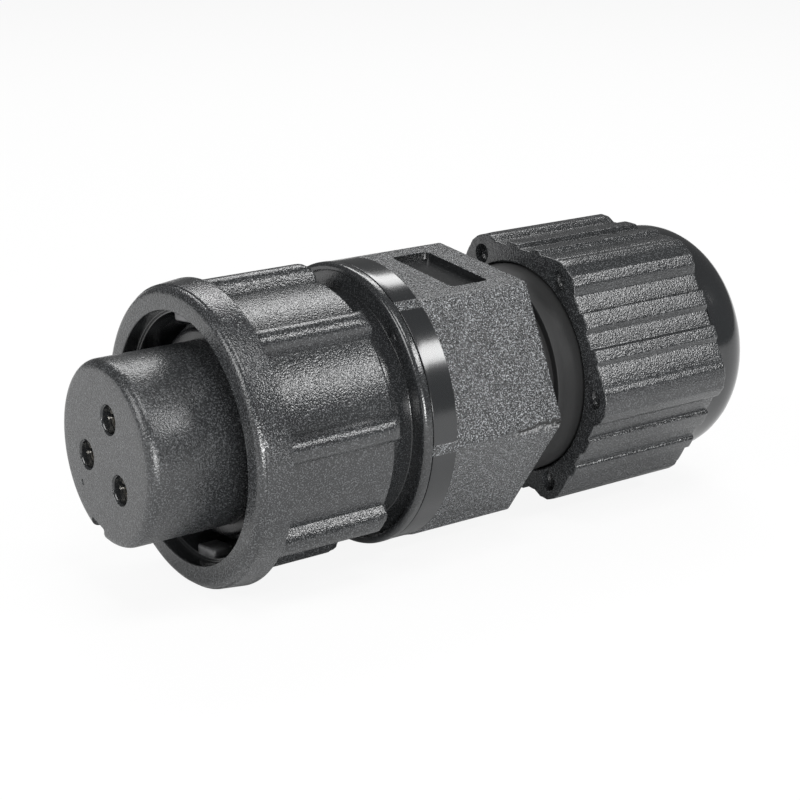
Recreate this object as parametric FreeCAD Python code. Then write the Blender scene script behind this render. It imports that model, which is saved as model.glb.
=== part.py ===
import FreeCAD, Part
import math
import os

os.makedirs("parts", exist_ok=True)

# Inline cable socket with a bayonet coupling ring and a cable gland.
# Millimetres. Stations run along the axis, X, from the front edge of the coupling ring's rim
# to the cable end.
# Clock angles are seen from the mating end: 0 is towards -Y, 90 is straight up.
# The finished part lies on its side, with its lowest line at Z = 0 and its middle at X = 0.

# Fits, and how far a cutting shape runs past the face it cuts
RUNNING_GAP = 0.08
SEAT_GAP = 0.05
SWEEP_GAP = 0.3
OVERCUT = 1.0

# Coupling ring
RING_LENGTH = 14.7
RING_FACE_PROUD = 0.6
RIM_LENGTH = 2.6
RIM_STEP = 1.9
RIM_DRAFT = 0.4
RIM_ROUND = 0.7
RING_WALL = 1.0
RING_WEB = 3.2
RING_POCKET = 2.1
MOUTH_DEPTH = 1.5
MOUTH_STEP = 0.4
LUG_ANGLES = (97.5, 277.5)
LUG_WIDTH = 3.1
LUG_LENGTH = 2.2
LUG_HEIGHT = 0.9
GRIP_RIBS = 8
GRIP_RIB_ROUND = 1.3
GRIP_RIB_HEIGHT = 1.55
GRIP_RIB_BLEND = 0.6
GRIP_RIB_END_ROUND = 1.2

# Contact carrier, its lock ring and seals
INSERT_R = 8.6
INSERT_PROUD = 8.2
INSERT_ROUND = 1.0
KEYWAY_ANGLE = 255.0
KEYWAY_WIDTH = 2.4
KEYWAY_DEPTH = 1.3
CARRIER_FLANGE_STEP = 0.9
CARRIER_FLANGE = 1.5
CARRIER_BARREL = 7.6
CORE_SEAL_R = 0.68
CORE_SEAL_BACK = 4.0
LOCK_RING = 1.2
FACE_SEAL = 1.2
FACE_SEAL_OVERHANG = 0.2
FACE_SEAL_GROOVE = 0.25
FACE_SEAL_ROUND = 0.4

# Contacts
CONTACT_ANGLES = (75.0, 195.0, 315.0)
CONTACT_PITCH_R = 3.65
PIN_R = 0.8
PIN_DEPTH = 8.0
CONTACT_WALL = 0.4
CONTACT_SLOT = 0.35
CONTACT_SLOT_LENGTH = 6.0
CONTACT_BACK = 0.9
MOUTH_CHAMFER = 0.15
COLLAR_R = 2.3
COLLAR_LENGTH = 1.5
BARREL_R = 1.85
BARREL_LENGTH = 10.0
BARREL_ROUND = 0.3
WIRE_R = 1.1
WIRE_DEPTH = 5.5
TERMINAL_SCREW_R = 0.8
TERMINAL_SCREW_BACK = 2.2
TERMINAL_SCREW_PROUD = 0.45
REAR_INSULATOR = 4.0
CARRIER_SCREW_R = 0.8
CARRIER_SCREW_BITE = 5.0
CARRIER_SCREW_HEAD_R = 1.3
CARRIER_SCREW_HEAD = 1.1
CARRIER_SCREW_HEAD_ROUND = 0.3
SCREWDRIVER_SLOT = 0.4

# Ring clip and wave washer
CLIP = 0.9
CLIP_BITE = 0.75
CLIP_GROOVE_FRONT_WALL = 0.6
CLIP_OPENING = 34.0
WASHER_STOCK = 0.3
WASHER_RISE = 1.5
WASHER_WAVES = 3
POINTS_PER_WAVE = 12

# Main body
NOSE_WALL = 0.85
NOSE_COLLAR_STEP = 0.8
FLANGE_LIP = 0.05
FLANGE = 1.05
FLANGE_BEHIND_RING = 2.3
FLANGE_ROUND = 0.4
FLANGE_FACE_RECESS = 0.4
FLANGE_FACE_LAND = 0.9
PARTING_GROOVE = 0.15
BAND = 2.6
BAND_R = 13.65
HEX_ACROSS_FLATS = 24.0
HEX_ANGLE = 85.0
HEX_CORNER_R = 13.8
HEX_LENGTH = 12.55
LABEL_RECESS_LENGTH = 4.3
LABEL_RECESS_WIDTH = 9.8
LABEL_RECESS_DEPTH = 0.7
LABEL_RECESS_ROUND = 0.5
LABEL_RECESS_FROM_REAR = 3.1
THREAD_R = 10.6
THREAD_DEPTH = 0.7
THREAD_LEAD = 2.4
NECK_LENGTH = 12.8
NECK_RELIEF = 0.8
NECK_WALL = 1.3
GLAND_WALL = 2.4
SEAL_STOP_R = 5.2
SEAL_STOP = 1.4

# Gland
SEAL_BORE_R = 4.6
SEAL_WALL = 1.9
SEAL_FLANGE = 0.5
CAGE_SKIRT = 4.4
CAGE_SHOULDER_R = 9.9
CAGE_SHOULDER = 1.2
CAGE_WALL = 1.8
CAGE_TIP_WALL = 1.1
CAGE_FINGERS = 8
CAGE_FINGER_LENGTH = 7.2
CAGE_SLOT = 1.0
SLIP_WASHER = 0.7
SLIP_WASHER_R = 10.3

# Gland nut
NUT_BEHIND_HEX = 5.2
NUT_RIBBED_LENGTH = 16.2
NUT_ANGLE = 60.0
NUT_CORNER_R = 14.0
NUT_VALLEY_APOTHEM = 12.3
NUT_RIB_HEIGHT = 0.4
NUT_CORNER_SPAN = (-4.2, 14.0)
NUT_SIDE_RIBS = ((22.4, 31.7), (39.6, 46.7))
NUT_CORNER_SLOPE = 4.0
NUT_RIB_SLOPE = 3.0
NUT_RIB_STEP = 0.6
NUT_RIB_FOOT_ROUND = 0.3
NUT_RIB_EDGE_ROUND = 0.12
NUT_RIB_SLOPE_ROUND = 0.4
NUT_CORNER_CROWN = 0.1
NUT_CORNER_ROUND = 2.5
NUT_CORNER_SLOPE_ROUND = 1.0
NUT_END_CHAMFER = 0.45
NUT_DIMPLE_R = 0.7
NUT_DIMPLE_DEPTH = 1.0
NUT_DIMPLE_CIRCLE_R = 11.94
NUT_DIMPLE_ANGLE = 2.0
NUT_TIGHTEN_TURNS = 0.75
DOME_LENGTH = 6.3
DOME_STEP = 0.2
DOME_ROUND = 4.5
NUT_THROAT_GAP = 0.5
NUT_CONE_LENGTH = 4.6
NUT_CONE_LEAD = 2.0
CABLE_R = 4.9
CABLE_LIP_ROUND = 0.6

# Radii that follow
INSERT_FOOT_R = INSERT_R - FACE_SEAL_GROOVE
CARRIER_FLANGE_R = INSERT_R + CARRIER_FLANGE_STEP
NOSE_BORE_R = CARRIER_FLANGE_R + SEAT_GAP
NOSE_R = NOSE_BORE_R + NOSE_WALL
NOSE_COLLAR_R = NOSE_R + NOSE_COLLAR_STEP
CARRIER_BARREL_R = INSERT_R - 2 * SEAT_GAP
BODY_BORE_R = CARRIER_BARREL_R + SEAT_GAP
RING_WEB_BORE_R = NOSE_R + RUNNING_GAP
RING_BORE_R = NOSE_R + LUG_HEIGHT + 2 * SEAT_GAP
RING_R = max(RING_BORE_R, NOSE_COLLAR_R + SWEEP_GAP) + RING_WALL
RIM_R = RING_R + RIM_STEP
GRIP_RIB_R = RING_R + GRIP_RIB_HEIGHT
CLIP_BORE_R = NOSE_R - CLIP_BITE
FLANGE_R = BAND_R + FLANGE_LIP
CONTACT_R = PIN_R + CONTACT_WALL
HEX_APOTHEM = HEX_ACROSS_FLATS / 2
THREAD_ROOT_R = THREAD_R - THREAD_DEPTH
WIRING_R = THREAD_ROOT_R - NECK_WALL
GLAND_BORE_R = THREAD_R - GLAND_WALL
NUT_BORE_R = THREAD_R + RUNNING_GAP
SEAL_R = SEAL_BORE_R + SEAL_WALL
CAGE_BORE_R = SEAL_R + SEAT_GAP
CAGE_FINGER_R = CAGE_BORE_R + CAGE_WALL
CAGE_TIP_R = CAGE_BORE_R + CAGE_TIP_WALL
NUT_THROAT_R = CAGE_FINGER_R + NUT_THROAT_GAP
DOME_R = NUT_VALLEY_APOTHEM - DOME_STEP

# Stations and lengths that follow
NUT_TIGHTEN = NUT_TIGHTEN_TURNS * THREAD_LEAD
WEB_REAR_X = RING_LENGTH - RING_POCKET
WEB_FRONT_X = WEB_REAR_X - RING_WEB
CLIP_REAR_X = WEB_FRONT_X - SEAT_GAP - WASHER_RISE
CLIP_FRONT_X = CLIP_REAR_X - CLIP
CARRIER_SEAT_X = CLIP_FRONT_X - CLIP_GROOVE_FRONT_WALL
CARRIER_FLANGE_X = CARRIER_SEAT_X - CARRIER_FLANGE
NOSE_FRONT_X = CARRIER_FLANGE_X - LOCK_RING
FACE_SEAL_X = NOSE_FRONT_X - FACE_SEAL
INSERT_FACE_X = -INSERT_PROUD
CARRIER_REAR_X = CARRIER_SEAT_X + CARRIER_BARREL
CONTACT_FRONT_X = INSERT_FACE_X + CONTACT_BACK
BARREL_REAR_X = CARRIER_REAR_X + BARREL_LENGTH
INSULATOR_REAR_X = CARRIER_REAR_X + REAR_INSULATOR
TERMINAL_SCREW_X = BARREL_REAR_X - TERMINAL_SCREW_BACK
FLANGE_X = RING_LENGTH + FLANGE_BEHIND_RING
BAND_X = FLANGE_X + FLANGE
HEX_X = BAND_X + BAND
NECK_X = HEX_X + HEX_LENGTH
NECK_END_X = NECK_X + NECK_LENGTH
SEAL_STOP_REAR_X = NECK_END_X - CAGE_SKIRT - SEAL_FLANGE - 2 * SEAT_GAP
SEAL_STOP_X = SEAL_STOP_REAR_X - SEAL_STOP
CAGE_SHOULDER_REAR_X = NECK_END_X + CAGE_SHOULDER
CAGE_TIP_X = CAGE_SHOULDER_REAR_X + CAGE_FINGER_LENGTH
NUT_X = NECK_X + NUT_BEHIND_HEX
NUT_SHOULDER_X = CAGE_SHOULDER_REAR_X + NUT_TIGHTEN + SLIP_WASHER + 2 * SEAT_GAP
NUT_CONE_X = CAGE_TIP_X + NUT_TIGHTEN - NUT_CONE_LEAD
DOME_X = NUT_X + NUT_RIBBED_LENGTH
END_X = DOME_X + DOME_LENGTH

# Largest radius, on which the part lies, and the middle of its length
AXIS_HEIGHT = max(RIM_R, NUT_CORNER_R, FLANGE_R)
MIDDLE_X = (INSERT_FACE_X + END_X) / 2

AXIS = FreeCAD.Vector(1, 0, 0)
ORIGIN = FreeCAD.Vector(0, 0, 0)


def place(station, radius, clock):
    """Point at a station, a radius and a clock angle."""
    angle = math.radians(clock)
    return FreeCAD.Vector(station, -radius * math.cos(angle), radius * math.sin(angle))


def clocked(shape, clock):
    """Copy of a shape that was built straight up, turned to a clock angle."""
    turned_shape = shape.copy()
    turned_shape.rotate(ORIGIN, AXIS, 90 - clock)
    return turned_shape


def closed_wire(corners, to_space):
    """Closed outline of (u, v) or (u, v, rounding) corners, with round corners as arcs."""
    flat = [FreeCAD.Vector(corner[0], corner[1], 0) for corner in corners]
    stops = []
    for index, corner in enumerate(corners):
        here = flat[index]
        rounding = corner[2] if len(corner) > 2 else 0
        if rounding <= 0:
            stops.append((here, None, here))
            continue
        back = (flat[index - 1] - here).normalize()
        ahead = (flat[(index + 1) % len(flat)] - here).normalize()
        half = back.getAngle(ahead) / 2
        reach = rounding / math.tan(half)
        depth = rounding / math.sin(half) - rounding
        middle = here + (back + ahead).normalize() * depth
        stops.append((here + back * reach, middle, here + ahead * reach))
    edges = []
    for index, (enter, middle, leave) in enumerate(stops):
        if middle is not None:
            bend = [to_space(point.x, point.y) for point in (enter, middle, leave)]
            edges.append(Part.Arc(*bend).toShape())
        following = stops[(index + 1) % len(stops)][0]
        if (following - leave).Length > 1e-6:
            run = [to_space(point.x, point.y) for point in (leave, following)]
            edges.append(Part.LineSegment(*run).toShape())
    return Part.Wire(edges)


def turned(corners):
    """Solid of revolution about the axis, from (station, radius) or (station, radius, rounding) corners."""
    wire = closed_wire(corners, lambda station, radius: FreeCAD.Vector(station, 0, radius))
    return Part.Face(wire).revolve(ORIGIN, AXIS, 360)


def rod(start, end, radius):
    """Plain round bar on the axis between two stations."""
    return Part.makeCylinder(radius, end - start, FreeCAD.Vector(start, 0, 0), AXIS)


def tube(start, end, radius, bore):
    """Plain tube on the axis between two stations."""
    return rod(start, end, radius).cut(rod(start, end, bore))


def upright_box(start, end, width, low, high):
    """Box above the axis, between two stations and two heights, ready to be clocked."""
    corner = FreeCAD.Vector(start, -width / 2, low)
    return Part.makeBox(end - start, width, high - low, corner)


def section_prism(corners, start, end):
    """Straight extrusion along the axis of an outline given as (Y, Z) corners."""
    wire = closed_wire(corners, lambda across, up: FreeCAD.Vector(start, across, up))
    return Part.Face(wire).extrude(FreeCAD.Vector(end - start, 0, 0))


def polar_corner(radius, clock, rounding=0):
    """Corner of a cross-section at a radius and a clock angle."""
    point = place(0, radius, clock)
    return (point.y, point.z, rounding)


def grip_section(station):
    """Outline of the grip: a circle with round ribs that blend into it, the first in line with a lug."""
    centre_r = GRIP_RIB_R - GRIP_RIB_ROUND
    blend_r = RING_R + GRIP_RIB_BLEND
    span = GRIP_RIB_ROUND + GRIP_RIB_BLEND
    cosine = (centre_r ** 2 + blend_r ** 2 - span ** 2) / (2 * centre_r * blend_r)
    half = math.degrees(math.acos(cosine))
    pitch = 360 / GRIP_RIBS
    edges = []
    for index in range(GRIP_RIBS):
        clock = LUG_ANGLES[0] + index * pitch
        centre = place(station, centre_r, clock)
        flank_ends = []
        for side in (-1, 1):
            blend_centre = place(station, blend_r, clock + side * half)
            on_ring = place(station, RING_R, clock + side * half)
            on_rib = centre + (blend_centre - centre).normalize() * GRIP_RIB_ROUND
            inward = ((on_ring - blend_centre) + (on_rib - blend_centre)).normalize()
            middle = blend_centre + inward * GRIP_RIB_BLEND
            edges.append(Part.Arc(on_ring, middle, on_rib).toShape())
            flank_ends.append(on_rib)
        top = place(station, GRIP_RIB_R, clock)
        edges.append(Part.Arc(flank_ends[0], top, flank_ends[1]).toShape())
        valley_start = place(station, RING_R, clock + half)
        valley_middle = place(station, RING_R, clock + pitch / 2)
        valley_end = place(station, RING_R, clock + pitch - half)
        edges.append(Part.Arc(valley_start, valley_middle, valley_end).toShape())
    return Part.Wire(Part.__sortEdges__(edges))


def coupling_ring():
    """Bayonet coupling ring with a rim, grip ribs, an inner web and two lugs."""
    grip = Part.Face(grip_section(RIM_LENGTH / 2)).extrude(FreeCAD.Vector(RING_LENGTH - RIM_LENGTH / 2, 0, 0))
    round_x = RING_LENGTH - 2 * GRIP_RIB_END_ROUND
    envelope = turned([
        (0, 0), (0, GRIP_RIB_R + OVERCUT), (round_x, GRIP_RIB_R + OVERCUT), (round_x, GRIP_RIB_R),
        (RING_LENGTH, GRIP_RIB_R, GRIP_RIB_END_ROUND), (RING_LENGTH, 0),
    ])
    rim = turned([
        (-RING_FACE_PROUD, 0), (-RING_FACE_PROUD, RIM_R - RIM_DRAFT, RIM_ROUND),
        (RIM_LENGTH, RIM_R), (RIM_LENGTH, 0),
    ])
    pocket_r = NOSE_COLLAR_R + SWEEP_GAP
    mouth_x = MOUTH_DEPTH - RING_FACE_PROUD
    bore = turned([
        (-RING_FACE_PROUD - OVERCUT, 0), (-RING_FACE_PROUD - OVERCUT, RING_BORE_R + MOUTH_STEP),
        (mouth_x, RING_BORE_R + MOUTH_STEP), (mouth_x, RING_BORE_R),
        (WEB_FRONT_X, RING_BORE_R), (WEB_FRONT_X, RING_WEB_BORE_R),
        (WEB_REAR_X, RING_WEB_BORE_R), (WEB_REAR_X, pocket_r),
        (RING_LENGTH + OVERCUT, pocket_r), (RING_LENGTH + OVERCUT, 0),
    ])
    ring = rim.fuse(grip.common(envelope)).cut(bore)
    lug = upright_box(mouth_x, mouth_x + LUG_LENGTH, LUG_WIDTH, RING_BORE_R - LUG_HEIGHT, RING_R)
    lug = lug.cut(rod(0, mouth_x + LUG_LENGTH + OVERCUT, RING_BORE_R - LUG_HEIGHT))
    for clock in LUG_ANGLES:
        ring = ring.fuse(clocked(lug, clock))
    return ring.removeSplitter()


def main_body():
    """One moulding: nose, flange, band, hexagon with a sunk panel, and threaded neck."""
    outer = turned([
        (NOSE_FRONT_X, 0), (NOSE_FRONT_X, NOSE_R),
        (WEB_REAR_X + SEAT_GAP, NOSE_R), (WEB_REAR_X + SEAT_GAP, NOSE_COLLAR_R),
        (FLANGE_X + FLANGE_FACE_RECESS, NOSE_COLLAR_R),
        (FLANGE_X + FLANGE_FACE_RECESS, FLANGE_R - FLANGE_FACE_LAND), (FLANGE_X, FLANGE_R - FLANGE_FACE_LAND),
        (FLANGE_X, FLANGE_R, FLANGE_ROUND), (BAND_X - PARTING_GROOVE, FLANGE_R),
        (BAND_X - PARTING_GROOVE, BAND_R - PARTING_GROOVE), (BAND_X, BAND_R - PARTING_GROOVE),
        (BAND_X, BAND_R), (HEX_X, BAND_R), (HEX_X, 0),
    ])
    hexagon = section_prism(
        [polar_corner(HEX_APOTHEM / math.cos(math.pi / 6), HEX_ANGLE + 30 + 60 * side) for side in range(6)],
        BAND_X, NECK_X)
    hexagon = hexagon.common(turned([
        (BAND_X, 0), (BAND_X, BAND_R), (HEX_X, BAND_R), (HEX_X + HEX_CORNER_R - BAND_R, HEX_CORNER_R),
        (NECK_X, HEX_CORNER_R), (NECK_X, 0),
    ]))
    neck = turned([
        (NECK_X - OVERCUT, 0), (NECK_X - OVERCUT, THREAD_ROOT_R), (NECK_X + NECK_RELIEF, THREAD_ROOT_R),
        (NECK_X + NECK_RELIEF, THREAD_R), (NECK_END_X - THREAD_DEPTH, THREAD_R),
        (NECK_END_X, THREAD_ROOT_R), (NECK_END_X, 0),
    ])
    cavity = turned([
        (NOSE_FRONT_X - OVERCUT, 0), (NOSE_FRONT_X - OVERCUT, NOSE_BORE_R), (CARRIER_SEAT_X, NOSE_BORE_R),
        (CARRIER_SEAT_X, BODY_BORE_R), (CARRIER_REAR_X, BODY_BORE_R),
        (CARRIER_REAR_X, WIRING_R), (SEAL_STOP_X, WIRING_R), (SEAL_STOP_X, SEAL_STOP_R),
        (SEAL_STOP_REAR_X, SEAL_STOP_R), (SEAL_STOP_REAR_X, GLAND_BORE_R),
        (NECK_END_X + OVERCUT, GLAND_BORE_R), (NECK_END_X + OVERCUT, 0),
    ])
    clip_groove = tube(CLIP_FRONT_X, CLIP_REAR_X, NOSE_R + OVERCUT, CLIP_BORE_R - SEAT_GAP)
    body = outer.fuse([hexagon, neck]).cut(cavity).cut(clip_groove).removeSplitter()
    panel_x = NECK_X - LABEL_RECESS_FROM_REAR - LABEL_RECESS_LENGTH
    half = LABEL_RECESS_WIDTH / 2
    floor = HEX_APOTHEM - LABEL_RECESS_DEPTH
    panel = closed_wire([
        (panel_x, -half, LABEL_RECESS_ROUND), (panel_x + LABEL_RECESS_LENGTH, -half, LABEL_RECESS_ROUND),
        (panel_x + LABEL_RECESS_LENGTH, half, LABEL_RECESS_ROUND), (panel_x, half, LABEL_RECESS_ROUND),
    ], lambda station, across: FreeCAD.Vector(station, across, floor))
    panel = Part.Face(panel).extrude(FreeCAD.Vector(0, 0, 2 * LABEL_RECESS_DEPTH))
    return body.cut(clocked(panel, HEX_ANGLE))


def contact_carrier():
    """Moulded insert with three contact passages, a keyway, a seating flange and two seal grooves."""
    foot_x = FACE_SEAL_X - SEAT_GAP
    groove_x = CARRIER_SEAT_X + CORE_SEAL_BACK
    carrier = turned([
        (INSERT_FACE_X, 0), (INSERT_FACE_X, INSERT_R, INSERT_ROUND), (foot_x, INSERT_R),
        (foot_x, INSERT_FOOT_R), (CARRIER_FLANGE_X, INSERT_FOOT_R),
        (CARRIER_FLANGE_X, CARRIER_FLANGE_R), (CARRIER_SEAT_X, CARRIER_FLANGE_R),
        (CARRIER_SEAT_X, CARRIER_BARREL_R), (CARRIER_REAR_X, CARRIER_BARREL_R), (CARRIER_REAR_X, 0),
    ])
    groove_floor = BODY_BORE_R - 2 * CORE_SEAL_R - SEAT_GAP
    half = CORE_SEAL_R + SEAT_GAP
    carrier = carrier.cut(tube(groove_x - half, groove_x + half, CARRIER_BARREL_R + OVERCUT, groove_floor))
    keyway_floor = INSERT_R - KEYWAY_DEPTH
    keyway = upright_box(INSERT_FACE_X - OVERCUT, foot_x, KEYWAY_WIDTH, keyway_floor, INSERT_R + OVERCUT)
    carrier = carrier.cut(clocked(keyway, KEYWAY_ANGLE))
    hole_r = CONTACT_R + RUNNING_GAP
    passage = turned([
        (INSERT_FACE_X - OVERCUT, 0), (INSERT_FACE_X - OVERCUT, hole_r + MOUTH_CHAMFER),
        (INSERT_FACE_X, hole_r + MOUTH_CHAMFER), (INSERT_FACE_X + MOUTH_CHAMFER, hole_r),
        (CARRIER_REAR_X - COLLAR_LENGTH - SEAT_GAP, hole_r),
        (CARRIER_REAR_X - COLLAR_LENGTH - SEAT_GAP, COLLAR_R + SEAT_GAP),
        (CARRIER_REAR_X + OVERCUT, COLLAR_R + SEAT_GAP), (CARRIER_REAR_X + OVERCUT, 0),
    ])
    for clock in CONTACT_ANGLES:
        hole = passage.copy()
        hole.translate(place(0, CONTACT_PITCH_R, clock))
        carrier = carrier.cut(hole)
    screw_start = CARRIER_REAR_X - CARRIER_SCREW_BITE - OVERCUT
    screw_hole = rod(screw_start, CARRIER_REAR_X + OVERCUT, CARRIER_SCREW_R + SEAT_GAP / 2)
    return carrier.cut(screw_hole)


def socket_contact(clock):
    """Turned contact: slotted socket in front, collar, and a barrel with a wire bore and a screw hole."""
    collar_x = CARRIER_REAR_X - COLLAR_LENGTH
    contact = turned([
        (CONTACT_FRONT_X, 0), (CONTACT_FRONT_X, CONTACT_R), (collar_x, CONTACT_R), (collar_x, COLLAR_R),
        (CARRIER_REAR_X - SEAT_GAP, COLLAR_R), (CARRIER_REAR_X - SEAT_GAP, BARREL_R),
        (BARREL_REAR_X, BARREL_R, BARREL_ROUND), (BARREL_REAR_X, 0),
    ])
    contact = contact.cut(rod(CONTACT_FRONT_X - OVERCUT, CONTACT_FRONT_X + PIN_DEPTH, PIN_R))
    contact = contact.cut(rod(BARREL_REAR_X - WIRE_DEPTH, BARREL_REAR_X + OVERCUT, WIRE_R))
    slot = Part.makeBox(
        CONTACT_SLOT_LENGTH + OVERCUT, 4 * CONTACT_R, CONTACT_SLOT,
        FreeCAD.Vector(CONTACT_FRONT_X - OVERCUT, -2 * CONTACT_R, -CONTACT_SLOT / 2))
    contact = contact.cut(slot)
    screw_hole = Part.makeCylinder(
        TERMINAL_SCREW_R + SEAT_GAP / 2, 2 * BARREL_R,
        FreeCAD.Vector(TERMINAL_SCREW_X, 0, 0), FreeCAD.Vector(0, 0, 1))
    contact = contact.cut(clocked(screw_hole, clock))
    contact.translate(place(0, CONTACT_PITCH_R, clock))
    return contact


def terminal_screw(clock):
    """Slotted grub screw that stands in its contact's barrel."""
    low = CONTACT_PITCH_R + WIRE_R / 2
    high = CONTACT_PITCH_R + BARREL_R + TERMINAL_SCREW_PROUD
    screw = Part.makeCylinder(
        TERMINAL_SCREW_R, high - low, FreeCAD.Vector(TERMINAL_SCREW_X, 0, low), FreeCAD.Vector(0, 0, 1))
    slot_x = TERMINAL_SCREW_X - 2 * TERMINAL_SCREW_R
    slot = Part.makeBox(
        4 * TERMINAL_SCREW_R, SCREWDRIVER_SLOT, TERMINAL_SCREW_R,
        FreeCAD.Vector(slot_x, -SCREWDRIVER_SLOT / 2, high - SCREWDRIVER_SLOT))
    return clocked(screw.cut(slot), clock)


def rear_insulator():
    """Disc behind the carrier that traps the contact collars."""
    disc = rod(CARRIER_REAR_X, INSULATOR_REAR_X, min(CARRIER_BARREL_R, WIRING_R) - SEAT_GAP)
    for clock in CONTACT_ANGLES:
        hole = rod(CARRIER_REAR_X - OVERCUT, INSULATOR_REAR_X + OVERCUT, BARREL_R + SEAT_GAP)
        hole.translate(place(0, CONTACT_PITCH_R, clock))
        disc = disc.cut(hole)
    return disc.cut(rod(CARRIER_REAR_X - OVERCUT, INSULATOR_REAR_X + OVERCUT, CARRIER_SCREW_R + SEAT_GAP))


def carrier_screw():
    """Central screw that pulls the rear insulator against the carrier."""
    head_x = INSULATOR_REAR_X + CARRIER_SCREW_HEAD
    screw = turned([
        (CARRIER_REAR_X - CARRIER_SCREW_BITE, 0), (CARRIER_REAR_X - CARRIER_SCREW_BITE, CARRIER_SCREW_R),
        (INSULATOR_REAR_X, CARRIER_SCREW_R), (INSULATOR_REAR_X, CARRIER_SCREW_HEAD_R),
        (head_x, CARRIER_SCREW_HEAD_R, CARRIER_SCREW_HEAD_ROUND), (head_x, 0),
    ])
    slot = Part.makeBox(
        CARRIER_SCREW_HEAD, 4 * CARRIER_SCREW_HEAD_R, SCREWDRIVER_SLOT,
        FreeCAD.Vector(head_x - CARRIER_SCREW_HEAD / 2, -2 * CARRIER_SCREW_HEAD_R, -SCREWDRIVER_SLOT / 2))
    return screw.cut(slot)


def carrier_lock_ring():
    """Ring in the nose's mouth that holds the carrier's flange on its seat."""
    return tube(NOSE_FRONT_X, CARRIER_FLANGE_X, CARRIER_FLANGE_R, INSERT_R + SEAT_GAP)


def face_seal():
    """Soft ring in the groove at the insert's foot, against the nose's front."""
    outer_r = NOSE_BORE_R + FACE_SEAL_OVERHANG
    bore_r = INSERT_FOOT_R + SEAT_GAP
    return turned([
        (FACE_SEAL_X, bore_r), (FACE_SEAL_X, outer_r, FACE_SEAL_ROUND),
        (NOSE_FRONT_X, outer_r), (NOSE_FRONT_X, bore_r),
    ])


def core_o_ring():
    """Ring seal in the carrier's groove."""
    centre = FreeCAD.Vector(CARRIER_SEAT_X + CORE_SEAL_BACK, 0, 0)
    return Part.makeTorus(BODY_BORE_R - CORE_SEAL_R - SEAT_GAP / 2, CORE_SEAL_R, centre, AXIS)


def ring_clip():
    """Split ring in the nose's groove that keeps the coupling ring on."""
    clip = tube(CLIP_FRONT_X, CLIP_REAR_X, RING_BORE_R - SWEEP_GAP, CLIP_BORE_R)
    half = RING_BORE_R * math.tan(math.radians(CLIP_OPENING / 2))
    opening = section_prism([(0, 0), (-half, RING_BORE_R), (half, RING_BORE_R)], CLIP_FRONT_X, CLIP_REAR_X)
    return clip.cut(clocked(opening, 270))


def wave_washer():
    """Spring washer between the clip and the coupling ring's web, three waves round."""
    rise = (WASHER_RISE - WASHER_STOCK) / 2
    middle = CLIP_REAR_X + WASHER_RISE / 2
    inner_r = NOSE_R + SEAT_GAP
    outer_r = RING_BORE_R - SWEEP_GAP
    steps = POINTS_PER_WAVE * WASHER_WAVES

    def wave_edge(radius, offset):
        points = []
        for step in range(steps):
            clock = 360 * step / steps
            wave = rise * math.sin(math.radians(clock * WASHER_WAVES))
            points.append(place(middle + offset + wave, radius, clock))
        curve = Part.BSplineCurve()
        curve.interpolate(Points=points, PeriodicFlag=True)
        return curve.toShape()

    front_inner = wave_edge(inner_r, -WASHER_STOCK / 2)
    front_outer = wave_edge(outer_r, -WASHER_STOCK / 2)
    rear_inner = wave_edge(inner_r, WASHER_STOCK / 2)
    rear_outer = wave_edge(outer_r, WASHER_STOCK / 2)
    faces = [
        Part.makeRuledSurface(front_inner, front_outer), Part.makeRuledSurface(rear_inner, rear_outer),
        Part.makeRuledSurface(front_inner, rear_inner), Part.makeRuledSurface(front_outer, rear_outer),
    ]
    shell = Part.Shell(faces)
    shell.sewShape()
    solid = Part.makeSolid(shell)
    if solid.Volume < 0:
        solid.reverse()
    return solid


def gland_seal():
    """Soft bush that grips the cable, with a flange against the stop in the neck."""
    front = SEAL_STOP_REAR_X + SEAT_GAP
    rear = CAGE_TIP_X - SEAL_FLANGE
    flange_r = GLAND_BORE_R - SEAT_GAP
    return turned([
        (front, SEAL_BORE_R), (front, flange_r), (front + SEAL_FLANGE, flange_r),
        (front + SEAL_FLANGE, SEAL_R), (rear, SEAL_R), (rear, SEAL_BORE_R),
    ])


def clamping_cage():
    """Collet: skirt in the neck, shoulder on its end, and fingers round the bush."""
    skirt_x = NECK_END_X - CAGE_SKIRT
    cage = turned([
        (skirt_x, CAGE_BORE_R), (skirt_x, GLAND_BORE_R - SEAT_GAP), (NECK_END_X, GLAND_BORE_R - SEAT_GAP),
        (NECK_END_X, CAGE_SHOULDER_R), (CAGE_SHOULDER_REAR_X, CAGE_SHOULDER_R),
        (CAGE_SHOULDER_REAR_X, CAGE_FINGER_R), (CAGE_TIP_X, CAGE_TIP_R), (CAGE_TIP_X, CAGE_BORE_R),
    ])
    for index in range(CAGE_FINGERS):
        slot_x = CAGE_SHOULDER_REAR_X + CAGE_SLOT / 2
        slot = upright_box(slot_x, CAGE_TIP_X + OVERCUT, CAGE_SLOT, 0, CAGE_FINGER_R + OVERCUT)
        cage = cage.cut(clocked(slot, index * 360 / CAGE_FINGERS))
    return cage


def slip_washer():
    """Washer between the nut's shoulder and the cage, so that the cage isn't twisted."""
    rear = NUT_SHOULDER_X - SEAT_GAP
    return tube(rear - SLIP_WASHER, rear, SLIP_WASHER_R, CAGE_FINGER_R + SWEEP_GAP)


def valley_radius(offset):
    """Radius of the nut's flat sides at an angle from a corner."""
    return NUT_VALLEY_APOTHEM / math.cos(math.radians(offset - 30))


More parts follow.
